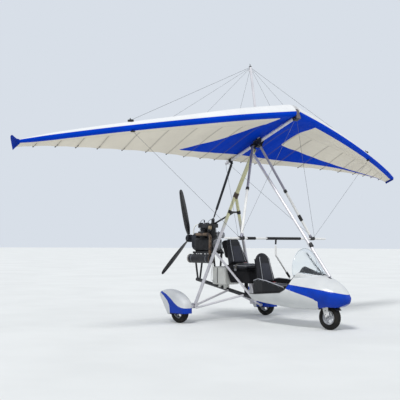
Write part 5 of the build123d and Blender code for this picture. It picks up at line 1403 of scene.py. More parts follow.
def stuff(piece: Piece, voxel: float = 0.006, pressure: float = 4.0, cap: float = 0.010) -> None:
    """Swells a pad by a cloth simulation, with every point's travel capped, and smooths it.

    Args:
        piece: pad to swell, slightly smaller than it ends up.
        voxel: size of the even mesh that the cloth runs on.
        pressure: pressure inside the cloth.
        cap: longest way that a point may travel.
    """
    remesh = piece.modifiers.new("even", "REMESH")
    remesh.mode = "VOXEL"
    remesh.voxel_size = voxel
    bake(piece)
    start = np.empty(len(piece.data.vertices) * 3, np.float32)
    piece.data.vertices.foreach_get("co", start)
    cloth = piece.modifiers.new("cloth", "CLOTH")
    cloth.settings.use_pressure = True
    cloth.settings.uniform_pressure_force = pressure
    cloth.settings.effector_weights.gravity = 0
    cloth.settings.quality = 5
    for step in range(1, FILL_FRAMES + 1):
        bpy.context.scene.frame_set(step)
    bake(piece)
    bpy.context.scene.frame_set(1)
    end = np.empty_like(start)
    piece.data.vertices.foreach_get("co", end)
    travel = (end - start).reshape(-1, 3)
    length = np.linalg.norm(travel, axis=1, keepdims=True)
    travel *= np.minimum(1, cap / np.maximum(length, 1e-9))
    piece.data.vertices.foreach_set("co", (start.reshape(-1, 3) + travel).ravel())
    fine = piece.modifiers.new("fine", "SUBSURF")
    fine.levels = fine.render_levels = 1
    bake(piece)
    piece.data.shade_smooth()


def mark_points(piece: Piece, name: str, values: Array) -> None:
    """Writes one value on each point of a piece's mesh."""
    piece.data.attributes.new(name, "FLOAT", "POINT").data.foreach_set("value", values.astype(np.float32))


def points_of(piece: Piece) -> Array:
    """Places of a piece's points, (N, 3)."""
    flat = np.empty(len(piece.data.vertices) * 3, np.float32)
    piece.data.vertices.foreach_get("co", flat)
    return flat.reshape(-1, 3).astype(float)


@dataclass
class Seats:
    """Two seats with padded backs and cushions, sewn panels, piping and lap belts."""

    thickness: float = 0.070
    cushion: float = 0.080
    gap: float = 0.003
    seam: float = 0.007
    swell: float = 0.018
    panel_wide: float = 0.46
    panel_tall: float = 0.63
    piping_wide: float = 0.62
    piping_tall: float = 0.86
    piping: float = 0.0048
    stitch: float = 0.0024
    seam_wide: float = 0.24
    seam_tall: float = 0.64
    shapes: tuple[SeatShape, ...] = (SeatShape("front", 0.930, 0.600, 0.490, 14, 0.390, 0.320, 0.350),
                                     SeatShape("rear", 0.335, 0.880, 0.470, 20, 0.440, 0.300, 0.330))

    def back(self, shape: SeatShape) -> Piece:
        """Padded back with its paler panel, its seam and its piping."""
        across, along, out = shape.axes()
        foot = craft(shape.ahead, 0, shape.up)
        origin = foot - out * self.thickness / 2
        form = pillow(shape.back_outline(self.seam), self.thickness - self.swell, origin, across, along, 0.004)
        pad = make(f"{shape.name}_back_pad", form, "trike", Paint.HIDE, 60)
        stuff(pad)
        local = points_of(pad) - foot
        u, v, w = local @ across, local @ along, local @ out
        foot_wide = shape.foot * self.panel_wide
        half = 0.5 * (foot_wide + (shape.top * 0.5 - foot_wide) * v / shape.height)
        panel = np.minimum.reduce([half - np.abs(u), shape.height * self.panel_tall - v, v - 0.03, w + 0.03])
        mark_points(pad, "panel", panel)
        edge = np.linspace(0.02, shape.height * self.piping_tall, 30)
        wide = 0.5 * self.piping_wide * (shape.foot + (shape.top - shape.foot) * edge / shape.height)
        before = foot + out * 0.05
        cords = [self.on_pad(pad, before + across * (side * wide)[:, None] + along * edge[:, None], self.piping)
                 for side in SIDES]
        level = np.linspace(-1, 1, 20) * shape.foot * self.seam_wide
        seam = before + across * level[:, None] + along * shape.height * self.seam_tall
        make(f"{shape.name}_back_piping", cords, "trike", Paint.PIPING, crease=60)
        make(f"{shape.name}_back_seam", self.on_pad(pad, seam, self.stitch), "trike", Paint.BLACK_TRIM, crease=60)
        return pad

    def on_pad(self, pad: Piece, path: Array, radius: float) -> Form:
        """Cord sewn onto a pad: a path dropped to the nearest place of the pad's surface."""
        return sweep(eased(dropped(pad, path)), radius, 8)

    def base(self, shape: SeatShape) -> Piece:
        """Padded cushion with a welt round its top edge."""
        half_long, half_wide = shape.length / 2, shape.foot / 2
        outline = soft_box(half_long - self.seam, half_wide - self.seam, 0.28)
        origin = craft(shape.ahead + half_long + self.gap, 0, shape.up - self.cushion / 2)
        form = pillow(outline, self.cushion - self.swell, origin, X_AXIS, Y_AXIS, 0.004)
        pad = make(f"{shape.name}_cushion_pad", form, "trike", Paint.HIDE, 60)
        stuff(pad)
        local = points_of(pad) - origin
        panel = np.minimum.reduce([half_wide * 0.62 - np.abs(local[:, 1]), half_long * 0.8 - np.abs(local[:, 0]),
                                   local[:, 2] - 0.01])
        mark_points(pad, "panel", panel)
        ring = origin + np.column_stack((outline * 1.01, np.full(len(outline), 0.024)))
        near = dropped(pad, ring)
        near = 0.5 * near + 0.25 * (np.roll(near, 1, axis=0) + np.roll(near, -1, axis=0))
        make(f"{shape.name}_cushion_welt", sweep(near, 0.0034, 8, wrap=True), "trike", Paint.PIPING, crease=60)
        return pad

    def belt(self, shape: SeatShape, pads: tuple[Piece, ...]) -> None:
        """Lap belt: webbing from the pan's sides over the cushion, and its buckle."""
        half = shape.foot / 2
        top = shape.up
        ahead = shape.ahead + 0.115
        tree = BVHTree.FromObject(pads[1], bpy.context.evaluated_depsgraph_get())
        level = np.linspace(-(half - 0.022), half - 0.022, 61)
        over = np.array([tree.ray_cast(Vector(craft(ahead, y, top + 0.1)), Vector((0, 0, -1)))[0] for y in level])
        over[:, 2] += 0.0035
        drop = np.linspace(top - 0.085, top - 0.028, 12)
        end = np.stack([craft(ahead, -(half + 0.004), z) for z in drop])
        path = np.concatenate([end, over, (end * (1, -1, 1))[::-1]])
        path = eased(path, 3)
        upward = np.cross(X_AXIS, unit(np.gradient(path, axis=0)))
        webbing = sweep(path, 0.022, 12, flat=0.07, hint=upward)
        shells = []
        for side in SIDES:
            spot = craft(ahead, side * (half + 0.006), top - 0.086)
            shells.append(block(spot, (0.024, 0.003, 0.018), corner=0.35))
            shells.append(nut(spot + (0, side * 0.003, -0.004), (0, side, 0), 0.013, 0.005))
        make(f"{shape.name}_lap_belt", webbing, "trike", Paint.WEBBING, crease=60)
        buckle = over[30] + (0, 0, 0.006)
        shells.append(block(buckle, (0.028, 0.040, 0.008), corner=0.35, steps=10))
        make(f"{shape.name}_belt_buckle", shells, "trike", Paint.ALLOY)
        key = block(buckle + (0, 0, 0.007), (0.016, 0.020, 0.0045))
        make(f"{shape.name}_buckle_key", key, "trike", Paint.RED_TRIM)

    def stowage(self) -> None:
        """Black stowage bag strapped to the rear seat's back, with its two straps."""
        shape = self.shapes[1]
        across, along, out = shape.axes()
        origin = craft(shape.ahead, 0, shape.up) + along * 0.290 - out * (self.thickness + 0.062)
        form = pillow(soft_box(0.128, 0.145, 0.34), 0.100, origin, across, along, 0.006, roll=0.034)
        bag = make("seat_back_bag", form, "trike", Paint.BLACK_CLOTH, crease=60)
        stuff(bag, cap=0.008)
        bands = []
        for shift in (-0.070, 0.070):
            swing = np.cos(np.linspace(-np.pi / 2, np.pi / 2, 40))
            rise = np.linspace(-0.150, 0.150, 40)
            path = origin + across * shift + along * rise[:, None] - out * 0.09 * swing[:, None]
            near = eased(dropped(bag, path))
            bands.append(sweep(near - out * 0.001, 0.012, 10, flat=0.12,
                               hint=np.cross(across, unit(np.gradient(near, axis=0)))))
        make("bag_straps", bands, "trike", Paint.WEBBING, crease=60)

    def build(self) -> None:
        """Makes both seats."""
        self.stowage()
        for shape in self.shapes:
            pads = (self.back(shape), self.base(shape))
            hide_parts(f"{shape.name}_seat")
            self.belt(shape, pads)


@dataclass
class Rigging:
    """Wires, fittings and sleeves of the wing and its control frame."""

    wire: float = 0.0017
    king_top: tuple[float, float] = (0.412, 1.244)
    bar_x: float = -0.059
    bar_z: float = -1.456
    corner_y: float = 0.793
    apex_x: float = 0.067
    side_share: float = 0.65

    def upright(self, side: int, share: Array) -> Array:
        """Centre line of an upright at shares of its length from its top."""
        share = np.atleast_1d(share)
        top = np.array((self.apex_x, side * 0.085, 0.034))
        foot = np.array((self.bar_x, side * self.corner_y, self.bar_z))
        return WING.place(*(top + (foot - top) * share[:, None]).T)

    def sleeves(self) -> None:
        """White lower sleeves, black collars at half height and a black pad on the left upright."""
        white = [sweep(self.upright(side, np.linspace(0.49, 0.955, 8)), 0.0202, 28) for side in SIDES]
        make("upright_lower_sleeves", white, "wing", Paint.WHITE_TUBE, crease=50)
        collars = []
        for side in SIDES:
            line = self.upright(side, np.array((0.470, 0.4725, 0.4975, 0.50)))
            collars.append(sweep(line, np.array((0.0235, 0.026, 0.026, 0.0235)), 24))
        line = self.upright(LEFT, np.array((0.742, 0.746, 0.80, 0.804)))
        collars.append(sweep(line, np.array((0.0235, 0.0255, 0.0255, 0.0235)), 24))
        make("upright_collars", collars, "wing", Paint.BLACK_TRIM, crease=40)

    def wires(self) -> None:
        """Lines from the kingpost's head to the keel's tail and the sail's rear edge, with their tabs."""
        sail = Sail()
        top = WING.place(self.king_top[0], 0, self.king_top[1] - 0.012)
        ends = [WING.place(-0.60, 0, 0.096)]
        for side in SIDES:
            for y in (1.48, 2.40):
                tail = sail.trailing_point(side * y)
                ends.append(WING.place(tail[0] + 0.04, tail[1], tail[2] + 0.010))
        forms = [sweep(np.linspace(top, end, 3), self.wire, 8) for end in ends]
        make("upper_lines", forms, "wing", Paint.WIRE)
        tabs = [block(end, (0.012, 0.008, 0.004)) for end in ends]
        make("line_tabs", tabs, "wing", Paint.BLACK_TRIM)

    def fittings(self) -> None:
        """Tangs and nuts over the leading edges, at the corners, the apex and the kingpost's head."""
        sail = Sail()
        forms, dark = [], []
        for side in SIDES:
            y = side * self.side_share * sail.half_span
            row = sail.rib(np.array([self.side_share]))[0]
            crest = WING.place(row[0] - 0.004, y, row[1] + row[5] + 0.004)
            base = WING.place(row[0] + 0.02, y, row[1] + row[5] * 0.86)
            dark.append(block(0.5 * (crest + base), (0.038, 0.030, 0.016), steps=10))
            dark.append(bar(base, crest + (0, 0, 0.030), 0.0065, 12))
            low = WING.place(row[0], y, row[1] - row[4] - 0.006)
            dark.append(block(low, (0.030, 0.022, 0.009), steps=10))
            corner = WING.place(self.bar_x, side * self.corner_y, self.bar_z)
            for shift in (-0.046, 0.046):
                spot = corner + (0, shift, 0.004)
                dark.append(block(spot, (0.020, 0.006, 0.026), corner=0.35))
                forms.append(nut(spot + (0.018, 0, 0), (1, 0, 0)))
            for share in (0.03, 0.975):
                spot = self.upright(side, share)[0]
                forms.append(nut(spot + (0.0195, 0, 0), (1, 0, 0)))
                forms.append(nut(spot - (0.0195, 0, 0), (-1, 0, 0)))
        along, up = WING.axes()
        cheek = np.array(((0.040, 0.030), (0.050, 0.004), (0.150, 0.004), (0.215, 0.050), (0.215, 0.098),
                          (0.150, 0.112), (0.052, 0.112), (0.040, 0.098)))
        for side in SIDES:
            dark.append(plate(cheek, 0.006, WING.place(0, side * 0.0285, 0), along, up))
            for x, z in ((0.062, 0.104), (0.120, 0.106), (0.190, 0.100), (0.140, 0.022)):
                forms.append(nut(WING.place(x, side * 0.0315, z), (0, side, 0), 0.015, 0.008))
        dark.append(block(WING.place(0.100, 0, 0.022), (0.046, 0.0235, 0.017), np.stack((along, (0, 1, 0), up)),
                          0.3, 10))
        head = WING.place(self.king_top[0], 0, self.king_top[1])
        run = unit(head - WING.place(0.139, 0, 0.070))
        dark.append(lathe([(-0.004, 0.020), (0.004, 0.0215), (0.012, 0.018), (0.016, 0.006), (0.046, 0.004),
                           (0.052, 0.002)], head, run, 24))
        make("wing_tangs", dark, "wing", Paint.BLACK_TRIM)
        make("wing_nuts", forms, "wing", Paint.STEEL)

    def bar_strap(self) -> None:
        """Webbing loop on the base bar, which hangs down to the bar's rest."""
        centre = WING.place(self.bar_x, -0.07, self.bar_z)
        turn = np.linspace(0, 2 * np.pi, 40, endpoint=False)
        ring = centre + 0.0182 * np.stack((np.cos(turn), 0 * turn, np.sin(turn)), axis=-1)
        loop = sweep(ring, 0.019, 10, flat=0.09, hint=unit(ring - centre), wrap=True)
        flat = np.stack([centre + (0.018, 0, -0.004), centre + (0.015, 0, -0.040), centre + (0.012, 0, -0.088)])
        tail = sweep(smooth_path(flat, 8), 0.019, 12, flat=0.10, hint=X_AXIS)
        make("bar_strap", loop + tail, "wing", Paint.BLACK_CLOTH, crease=60)

    def nose_cap(self) -> None:
        """Cloth cover over the nose bracket, and the nuts on the bracket's cheeks."""
        turn = np.linspace(0.5 * np.pi, -0.5 * np.pi, 19)
        rows = []
        for y in np.linspace(-0.044, 0.044, 9):
            bulge = 1 - 0.25 * (y / 0.044) ** 2
            x = 0.9755 + 0.0135 * np.cos(turn) * bulge
            z = 0.104 + 0.080 * np.sin(turn)
            rows.append(WING.place(x, y, z))
        cap = make("nose_cap", grid(np.stack(rows)), "wing", Paint.TAUPE_CLOTH, crease=60)
        walled(cap, 0.002, 0)
        bolts = [nut(WING.place(0.930, side * 0.0465, z), (0, side, 0), 0.014, 0.007)
                 for side in SIDES for z in (0.045, 0.075)]
        make("nose_bolts", bolts, "wing", Paint.STEEL)

    def grips(self) -> None:
        """Black rings at the grips' ends."""
        centre = WING.place(self.bar_x, 0, self.bar_z)
        rings = [collar(centre + (0, y, 0), (0, 1, 0), 0.006, 0.0205, 0.0222)
                 for y in (-0.672, -0.512, -0.253, 0.501)]
        make("grip_rings", rings, "wing", Paint.BLACK_TRIM)

    def build(self) -> None:
        """Makes all of it."""
        for step in (self.sleeves, self.wires, self.fittings, self.bar_strap, self.nose_cap, self.grips):
            step()


@dataclass
class TipFins:
    """Upright cloth fins on the wing tips."""

    thickness: float = 0.008
    half_span: float = 4.0143
    outline: Line = ((-0.390, -0.172), (-0.388, -0.02), (-0.380, 0.010), (-0.360, 0.018),
                     (-0.338, 0.010), (-0.262, -0.080), (-0.205, -0.118),
                     (-0.200, -0.150), (-0.210, -0.172))

    def build(self) -> None:
        """Makes both fins with eased edges."""
        along, up = WING.axes()
        one = plate(self.outline, self.thickness, WING.place(0, self.half_span, 0), along, up, edge=0.003)
        make("tip_fin_blades", one.both(), "wing", Paint.BLUE_CLOTH, crease=50, replaces=("tip_fins",))


@dataclass
class EngineBay:
    """Plugs, leads, covers, clamps, mounts and pipes of the open engine, with the tank's strap and cap."""

    cylinders: tuple[float, float] = (-0.305, -0.485)
    head_top: float = 1.516
    case_low: float = 1.062

    def ignition(self) -> None:
        """Plugs with their caps, the coil's box and the leads between them."""
        white, caps, leads = [], [], []
        coil = craft(-0.395, -0.150, 1.355)
        for place in self.cylinders:
            foot = craft(place, 0, self.head_top)
            white.append(lathe([(0, 0.010), (0.006, 0.010), (0.007, 0.007), (0.030, 0.006)], foot, (0, 0, 1), 20))
            caps.append(lathe([(0.022, 0.0085), (0.026, 0.0105), (0.052, 0.0105), (0.060, 0.007)], foot, Z_AXIS, 20))
            line = smooth_path(np.stack([foot + (0, 0, 0.056), foot + (0.004, -0.030, 0.066),
                                         foot + (0, -0.088, 0.022), foot + (0, -0.104, -0.060),
                                         coil + (0, 0, 0.030)]), 9)
            leads.append(sweep(line, 0.0036, 10))
        make("plug_bodies", white, "trike", Paint.ALLOY)
        make("plug_caps", caps, "trike", Paint.BLACK_TRIM)
        make("plug_leads", leads, "trike", Paint.BLACK_TRIM, crease=60)
        box = block(coil, (0.060, 0.026, 0.034), corner=0.25, steps=12)
        legs = [block(coil + (x, 0.028, -0.01), (0.008, 0.016, 0.006)) for x in (-0.035, 0.035)]
        make("coil_box", [box, *legs], "trike", Paint.BLACK_TRIM)

    def head(self) -> None:
        """Nuts of the heads and the case, and the starter's slotted cover ahead of the case."""
        forms = []
        for place in self.cylinders:
            for x in (-0.052, 0.052):
                for y in (-0.052, 0.052):
                    forms.append(nut(craft(place + x, y, self.head_top), (0, 0, 1), 0.015, 0.009))
        for y in (-0.094, 0.094):
            for x in np.linspace(-0.56, -0.23, 6):
                forms.append(nut(craft(x, y, self.case_low + 0.001), (0, 0, -1), 0.011, 0.005))
        make("engine_nuts", forms, "trike", Paint.STEEL)
        centre = craft(-0.1995, 0, 1.170)
        profile = [(0.0, 0.094), (0.010, 0.098), (0.020, 0.092), (0.030, 0.070), (0.034, 0.050), (0.040, 0.046),
                   (0.048, 0.030), (0.050, 0.012)]
        make("starter_cover", lathe(profile, centre, (1, 0, 0), 56), "trike", Paint.ALLOY, crease=28)
        turns = np.arange(12) * 2 * np.pi / 12
        slots = [block(centre + (0.027, 0.072 * math.cos(t), 0.072 * math.sin(t)), (0.005, 0.0085, 0.0035),
                       np.array(((1, 0, 0), (0, math.cos(t), math.sin(t)), (0, -math.sin(t), math.cos(t)))))
                 for t in turns]
        slots += nut_circle(centre + 0.012 * X_AXIS, (1, 0, 0), 0.089, 4, 0.26, 0.010, 0.005)
        make("starter_slots", slots, "trike", Paint.BLACK_TRIM)

    def intake(self) -> None:
        """Carburettors' bowls and caps, and the filters' clamps."""
        forms, dark = [], []
        for place in self.cylinders:
            body = craft(place, 0.150, 1.330)
            for profile in (((-0.052, 0.016), (-0.050, 0.022), (-0.022, 0.024), (-0.020, 0.020)),
                            ((0.022, 0.018), (0.024, 0.021), (0.046, 0.021), (0.050, 0.012), (0.062, 0.006))):
                forms.append(lathe(profile, body, Z_AXIS, 24))
            for y in (0.128, 0.172):
                dark.append(collar(craft(place, y, 1.330), (0, 1, 0), 0.004, 0.0255, 0.0272, 0.001))
        make("carburettor_parts", forms, "trike", Paint.ALLOY)
        make("intake_clamps", dark, "trike", Paint.STEEL)

    def exhaust(self) -> None:
        """Bands that hold the muffler, its end rings, and the flanges on the cylinders."""
        forms, bands = [], []
        centre = craft(-0.37, -0.184, 0.950)
        for x in (-0.17, 0.17):
            bands.append(collar(centre + (x, 0, 0), (1, 0, 0), 0.010, 0.0723, 0.0742, 0.001, 48))
            bands.append(nut(centre + (x, -0.052, 0.052), (0, -0.7, 0.7), 0.013, 0.008))
        for x in (-0.248, 0.248):
            forms.append(collar(centre + (x, 0, 0), (1, 0, 0), 0.006, 0.070, 0.0735, sides=48))
        for place in self.cylinders:
            flange = craft(place, -0.122, 1.340)
            forms.append(block(flange, (0.036, 0.006, 0.026), corner=0.5, steps=10))
            forms += [nut(flange + (x, -0.006, 0), (0, -1, 0), 0.011, 0.006) for x in (-0.027, 0.027)]
        make("muffler_bands", bands, "trike", Paint.STEEL)
        make("exhaust_flanges", forms, "trike", Paint.PIPE)

    def tank(self) -> None:
        """Tank's strap in its groove, its filler cap and its outlet."""
        x, half, low, top, ease = -0.002, 0.1645, 0.5535, 0.8245, 0.024
        turn = np.linspace(0, np.pi / 2, 7)
        corner = ease * np.stack((np.sin(turn), np.cos(turn)), axis=-1)
        quarter = corner + (half - ease, (top - low) / 2 - ease)
        ring = np.concatenate([quarter, (quarter * (1, -1))[::-1], quarter * (-1, -1), (quarter * (-1, 1))[::-1]])
        path = craft(x, 0, (low + top) / 2) + np.stack((0 * ring[:, 0], ring[:, 0], ring[:, 1]), axis=-1)
        points = path[:, None] + np.array(((-0.0085, 0, 0), (0.0085, 0, 0)))
        out = unit(np.stack((0 * ring[:, 0], ring[:, 0] / half, ring[:, 1] / ((top - low) / 2)), axis=-1))
        band = np.stack([points[:, 0], points[:, 0] + out * 0.002, points[:, 1] + out * 0.002, points[:, 1]], axis=1)
        closed = np.concatenate([band, band[:1]])
        make("tank_strap", grid(closed, wrap=True), "trike", Paint.BLACK_TRIM, crease=50)
        cap = lathe([(-0.004, 0.040), (0.004, 0.040), (0.006, 0.034), (0.024, 0.034), (0.028, 0.030)],
                    craft(0.10, -0.06, 0.830), (0, 0, 1), 36)
        make("tank_cap", cap, "trike", Paint.BLACK_TRIM, crease=30)
        spout = bar(craft(-0.10, -0.172, 0.60), craft(-0.10, -0.150, 0.60), 0.008, 14)
        make("tank_outlet", spout, "trike", Paint.ALLOY)

    def lines(self) -> None:
        """Fuel line from the tank's outlet, and the loom up to the engine."""
        fuel = pipe(((-0.10, -0.175, 0.60), (-0.13, -0.182, 0.62), (-0.158, -0.150, 0.72), (-0.160, -0.118, 0.90),
                     (-0.165, -0.112, 1.02)), 0.004)
        make("fuel_line", fuel, "trike", Paint.TANK, crease=60)
        loom = pipe(((-0.195, 0.085, 0.60), (-0.196, 0.087, 0.80), (-0.196, 0.089, 1.02), (-0.170, 0.100, 1.10),
                     (-0.165, 0.120, 1.20)), 0.005)
        make("engine_loom", loom, "trike", Paint.BLACK_TRIM, crease=60)

    def details(self) -> None:
        """Case ribs, fuel pump with its hose, pale breather hose, the gearbox's bolts and the head's lugs."""
        ribs = [block(craft(x, -0.1195, 1.170), (0.0028, 0.0035, 0.086), corner=0.35)
                for x in np.linspace(-0.560, -0.230, 12)]
        make("case_ribs", joined(ribs).both(), "trike", Paint.ENGINE)
        pump = craft(-0.238, -0.108, 1.448)
        body = block(pump, (0.030, 0.014, 0.030), corner=0.3, steps=10) + lathe(
            [(0.012, 0.024), (0.018, 0.024), (0.022, 0.018)], pump, (0, -1, 0), 28)
        make("fuel_pump", body, "trike", Paint.TAN)
        ends = [bar(pump + (x, -0.004, -0.028), pump + (x, -0.004, -0.048), 0.005) for x in
                (-0.016, 0.016)]
        ends += [nut(pump + (x, -0.013, z), (0, -1, 0), 0.009, 0.004) for x in (-0.023, 0.023)
                 for z in (-0.023, 0.023)]
        make("pump_ends", ends, "trike", Paint.STEEL)
        hose = pipe(((-0.254, -0.112, 1.408), (-0.262, -0.120, 1.340), (-0.205, -0.132, 1.230),
                     (-0.186, -0.126, 1.090), (-0.172, -0.118, 1.030)), 0.0055)
        make("pump_hose", hose, "trike", Paint.BLACK_TRIM, crease=60)
        pale = pipe(((-0.560, -0.050, 1.506), (-0.600, -0.085, 1.490), (-0.632, -0.100, 1.430),
                     (-0.640, -0.098, 1.340)), 0.009, 12)
        make("breather_hose", pale, "trike", Paint.TANK, crease=60)
        bolts = nut_circle(craft(-0.690, 0, 1.276), (-1, 0, 0), 0.078, 8, 0.2, 0.012, 0.007)
        make("gearbox_bolts", bolts, "trike", Paint.STEEL)
        rocker = [block(craft(x, -0.020, 1.524), (0.034, 0.022, 0.009), corner=0.35, steps=10)
                  for x in (-0.395, -0.255, -0.540)]
        make("head_lugs", rocker, "trike", Paint.BLACK_TRIM)

    def mounts(self) -> None:
        """Rubber bushes between the engine's rails and its case."""
        forms, bolts = [], []
        for x in (-0.24, -0.55):
            for y in (-0.096, 0.096):
                spot = craft(x, y, 1.056)
                forms.append(lathe([(-0.004, 0.020), (0.0, 0.023), (0.004, 0.020)], spot, (0, 0, 1), 24))
                bolts.append(nut(spot + (0, 0, -0.026), (0, 0, -1), 0.015, 0.008))
        make("mount_bushes", forms, "trike", Paint.BLACK_TRIM)
        make("mount_nuts", bolts, "trike", Paint.STEEL)

    def build(self) -> None:
        """Makes all of it."""
        for step in (self.ignition, self.head, self.intake, self.exhaust, self.tank, self.lines, self.details,
                     self.mounts):
            step()


@dataclass
class TrikeFittings:
    """Clamps, sleeves, bolts, edgings and cockpit parts of the trike."""

    def clamps(self) -> None:
        """Black clamps on the rear legs beside the top strut, and the sleeves of front strut and bar rest."""
        forms = []
        top = craft(0.241, 0, 1.953)
        for side in SIDES:
            run = craft(0, side * 0.655, 0.243) - top
            spot = top + run * (1.690 - top[2]) / run[2]
            forms.append(collar(spot, run, 0.026, 0.0262, 0.031, sides=32, ring=False))
        strut_foot, strut_top = craft(2.085, 0, 0.737), craft(0.633, 0, 2.647)
        run = strut_top - strut_foot
        spot = strut_foot + run * 0.232
        forms.append(collar(spot, run, 0.034, 0.0235, 0.0295, 0.003, 36, ring=False))
        table = np.array(Pod.rows)
        knee = craft(1.097, np.interp(1.097, table[:, 0], table[:, 4]) + 0.0013, 0.690)
        run = unit(craft(1.135, -0.070, 1.030) - knee)
        forms.append(bar(knee + run * 0.006, knee + run * 0.120, 0.0175, 24))
        make("frame_clamps", forms, "trike", Paint.BLACK_TRIM, crease=30)

    def bolts(self) -> None:
        """Nuts where the tubes meet: legs, braces, drag struts, collar and head."""
        forms = []
        for side in SIDES:
            for x, z in ((0.030, 0.262), (-0.030, 0.262), (0.030, 0.218), (-0.030, 0.218)):
                forms.append(nut(craft(x, side * 0.6905, z), (0, side, 0)))
            forms.append(nut(craft(0.0, side * 0.842, 0.1975), (0, 0, 1)))
        forms.append(nut(craft(0.560, -0.0305, 0.385), (0, -1, 0), 0.015, 0.008))
        forms.append(nut(craft(0.560, 0.0305, 0.385), (0, 1, 0), 0.015, 0.008))
        for side in SIDES:
            forms.append(nut(craft(2.08, side * 0.0745, 0.173), (0, side, 0), 0.024, 0.009))
        make("frame_nuts", forms, "trike", Paint.STEEL)

    def pod_edges(self) -> None:
        """Rubber edging along the pod's open edge and the grey strip on the cockpit tub's sides."""
        pod = Pod()
        edge = pod.edge_line()
        make("pod_edging", sweep(edge, 0.0048, 8).both(), "trike", Paint.BLACK_TRIM, crease=60)
        table = np.array(pod.rows)
        ahead = np.linspace(0.80, 1.515, 40)
        z = np.interp(ahead, (0.790, 0.930, 1.130, 1.525), (0.640, 0.674, 0.655, 0.572))
        z = eased(z)
        half = np.interp(ahead, table[:, 0], table[:, 4]) - 0.014
        path = np.stack((AXLE_X + ahead, half, z + 0.002), axis=-1)
        strip = sweep(path, 0.0065, 10, hint=Y_AXIS)
        make("tub_strip", strip.both(), "trike", Paint.PIPING, crease=60)
        studs = []
        for place in range(3, 40, 6):
            for side in SIDES:
                spot = path[place] * (1, side, 1) + (0, side * 0.004, -0.020)
                studs.append(lathe([(0, 0.0075), (0.0025, 0.0075), (0.004, 0.004)], spot, (0, side, 0), 16))
        make("tub_studs", studs, "trike", Paint.STEEL)

    def dials(self) -> None:
        """Round blank dials and switches on the instrument panel's rear face."""
        rings, faces, marks, knobs = [], [], [], []
        for y, z, r in ((-0.150, 0.705, 0.040), (-0.055, 0.722, 0.040), (0.040, 0.722, 0.040), (0.135, 0.708, 0.040),
                        (-0.100, 0.640, 0.026), (0.0, 0.645, 0.026), (0.09, 0.640, 0.026)):
            spot = craft(1.6397, y, z)
            rings.append(lathe([(0, r), (0.006, r), (0.009, r - 0.003), (0.006, r - 0.006), (0.002, r - 0.006)], spot,
                               (-1, 0, 0), 36))
            faces.append(lathe([(0.001, r - 0.005), (0.003, r - 0.005)], spot, (-1, 0, 0), 36))
            tilt = 0.8 + 3 * y
            marks.append(bar(spot + (-0.0042, 0, 0),
                             spot + (-0.0042, (r - 0.012) * math.cos(tilt), (r - 0.012) * math.sin(tilt)),
                             0.0009, 8))
        for y in (-0.20, -0.185, 0.19, 0.205):
            knobs.append(bar(craft(1.640, y, 0.650), craft(1.622, y, 0.658), 0.0035, 12))
        make("dial_rings", rings, "trike", Paint.BLACK_TRIM, crease=30)
        make("dial_faces", faces, "trike", Paint.GLASS_DIAL)
        make("dial_needles", marks, "trike", Paint.DIAL_MARK)
        make("panel_switches", knobs, "trike", Paint.STEEL)

    def fork_covers(self) -> None:
        """Tapered covers on the fork legs' outer faces, with their bolts."""
        rake = math.radians(12)
        up = math.cos(rake) * Z_AXIS - math.sin(rake) * X_AXIS
        run = math.cos(rake) * X_AXIS + math.sin(rake) * Z_AXIS
        line = np.array(((-0.016, 0.012), (-0.020, 0.030), (-0.034, 0.080), (-0.040, 0.158), (0.062, 0.158),
                         (0.050, 0.080), (0.026, 0.030), (0.018, 0.012)))
        forms = [plate(line, 0.003, craft(2.08, side * 0.0812, 0.173), run, up) for side in SIDES]
        make("fork_covers", forms, "nose_fork", Paint.WHITE_TUBE)
        spots = [craft(2.08, side * 0.083, 0.173) + up * z + run * x for side in SIDES
                 for x, z in ((0.0, 0.045), (0.004, 0.100), (0.008, 0.145))]
        nuts = [nut(spot, (0, np.sign(spot[1]), 0), 0.012, 0.006) for spot in spots]
        make("fork_nuts", nuts, "nose_fork", Paint.STEEL)

    def build(self) -> None:
        """Makes all of it."""
        for step in (self.clamps, self.fork_covers, self.bolts, self.pod_edges, self.dials):
            step()


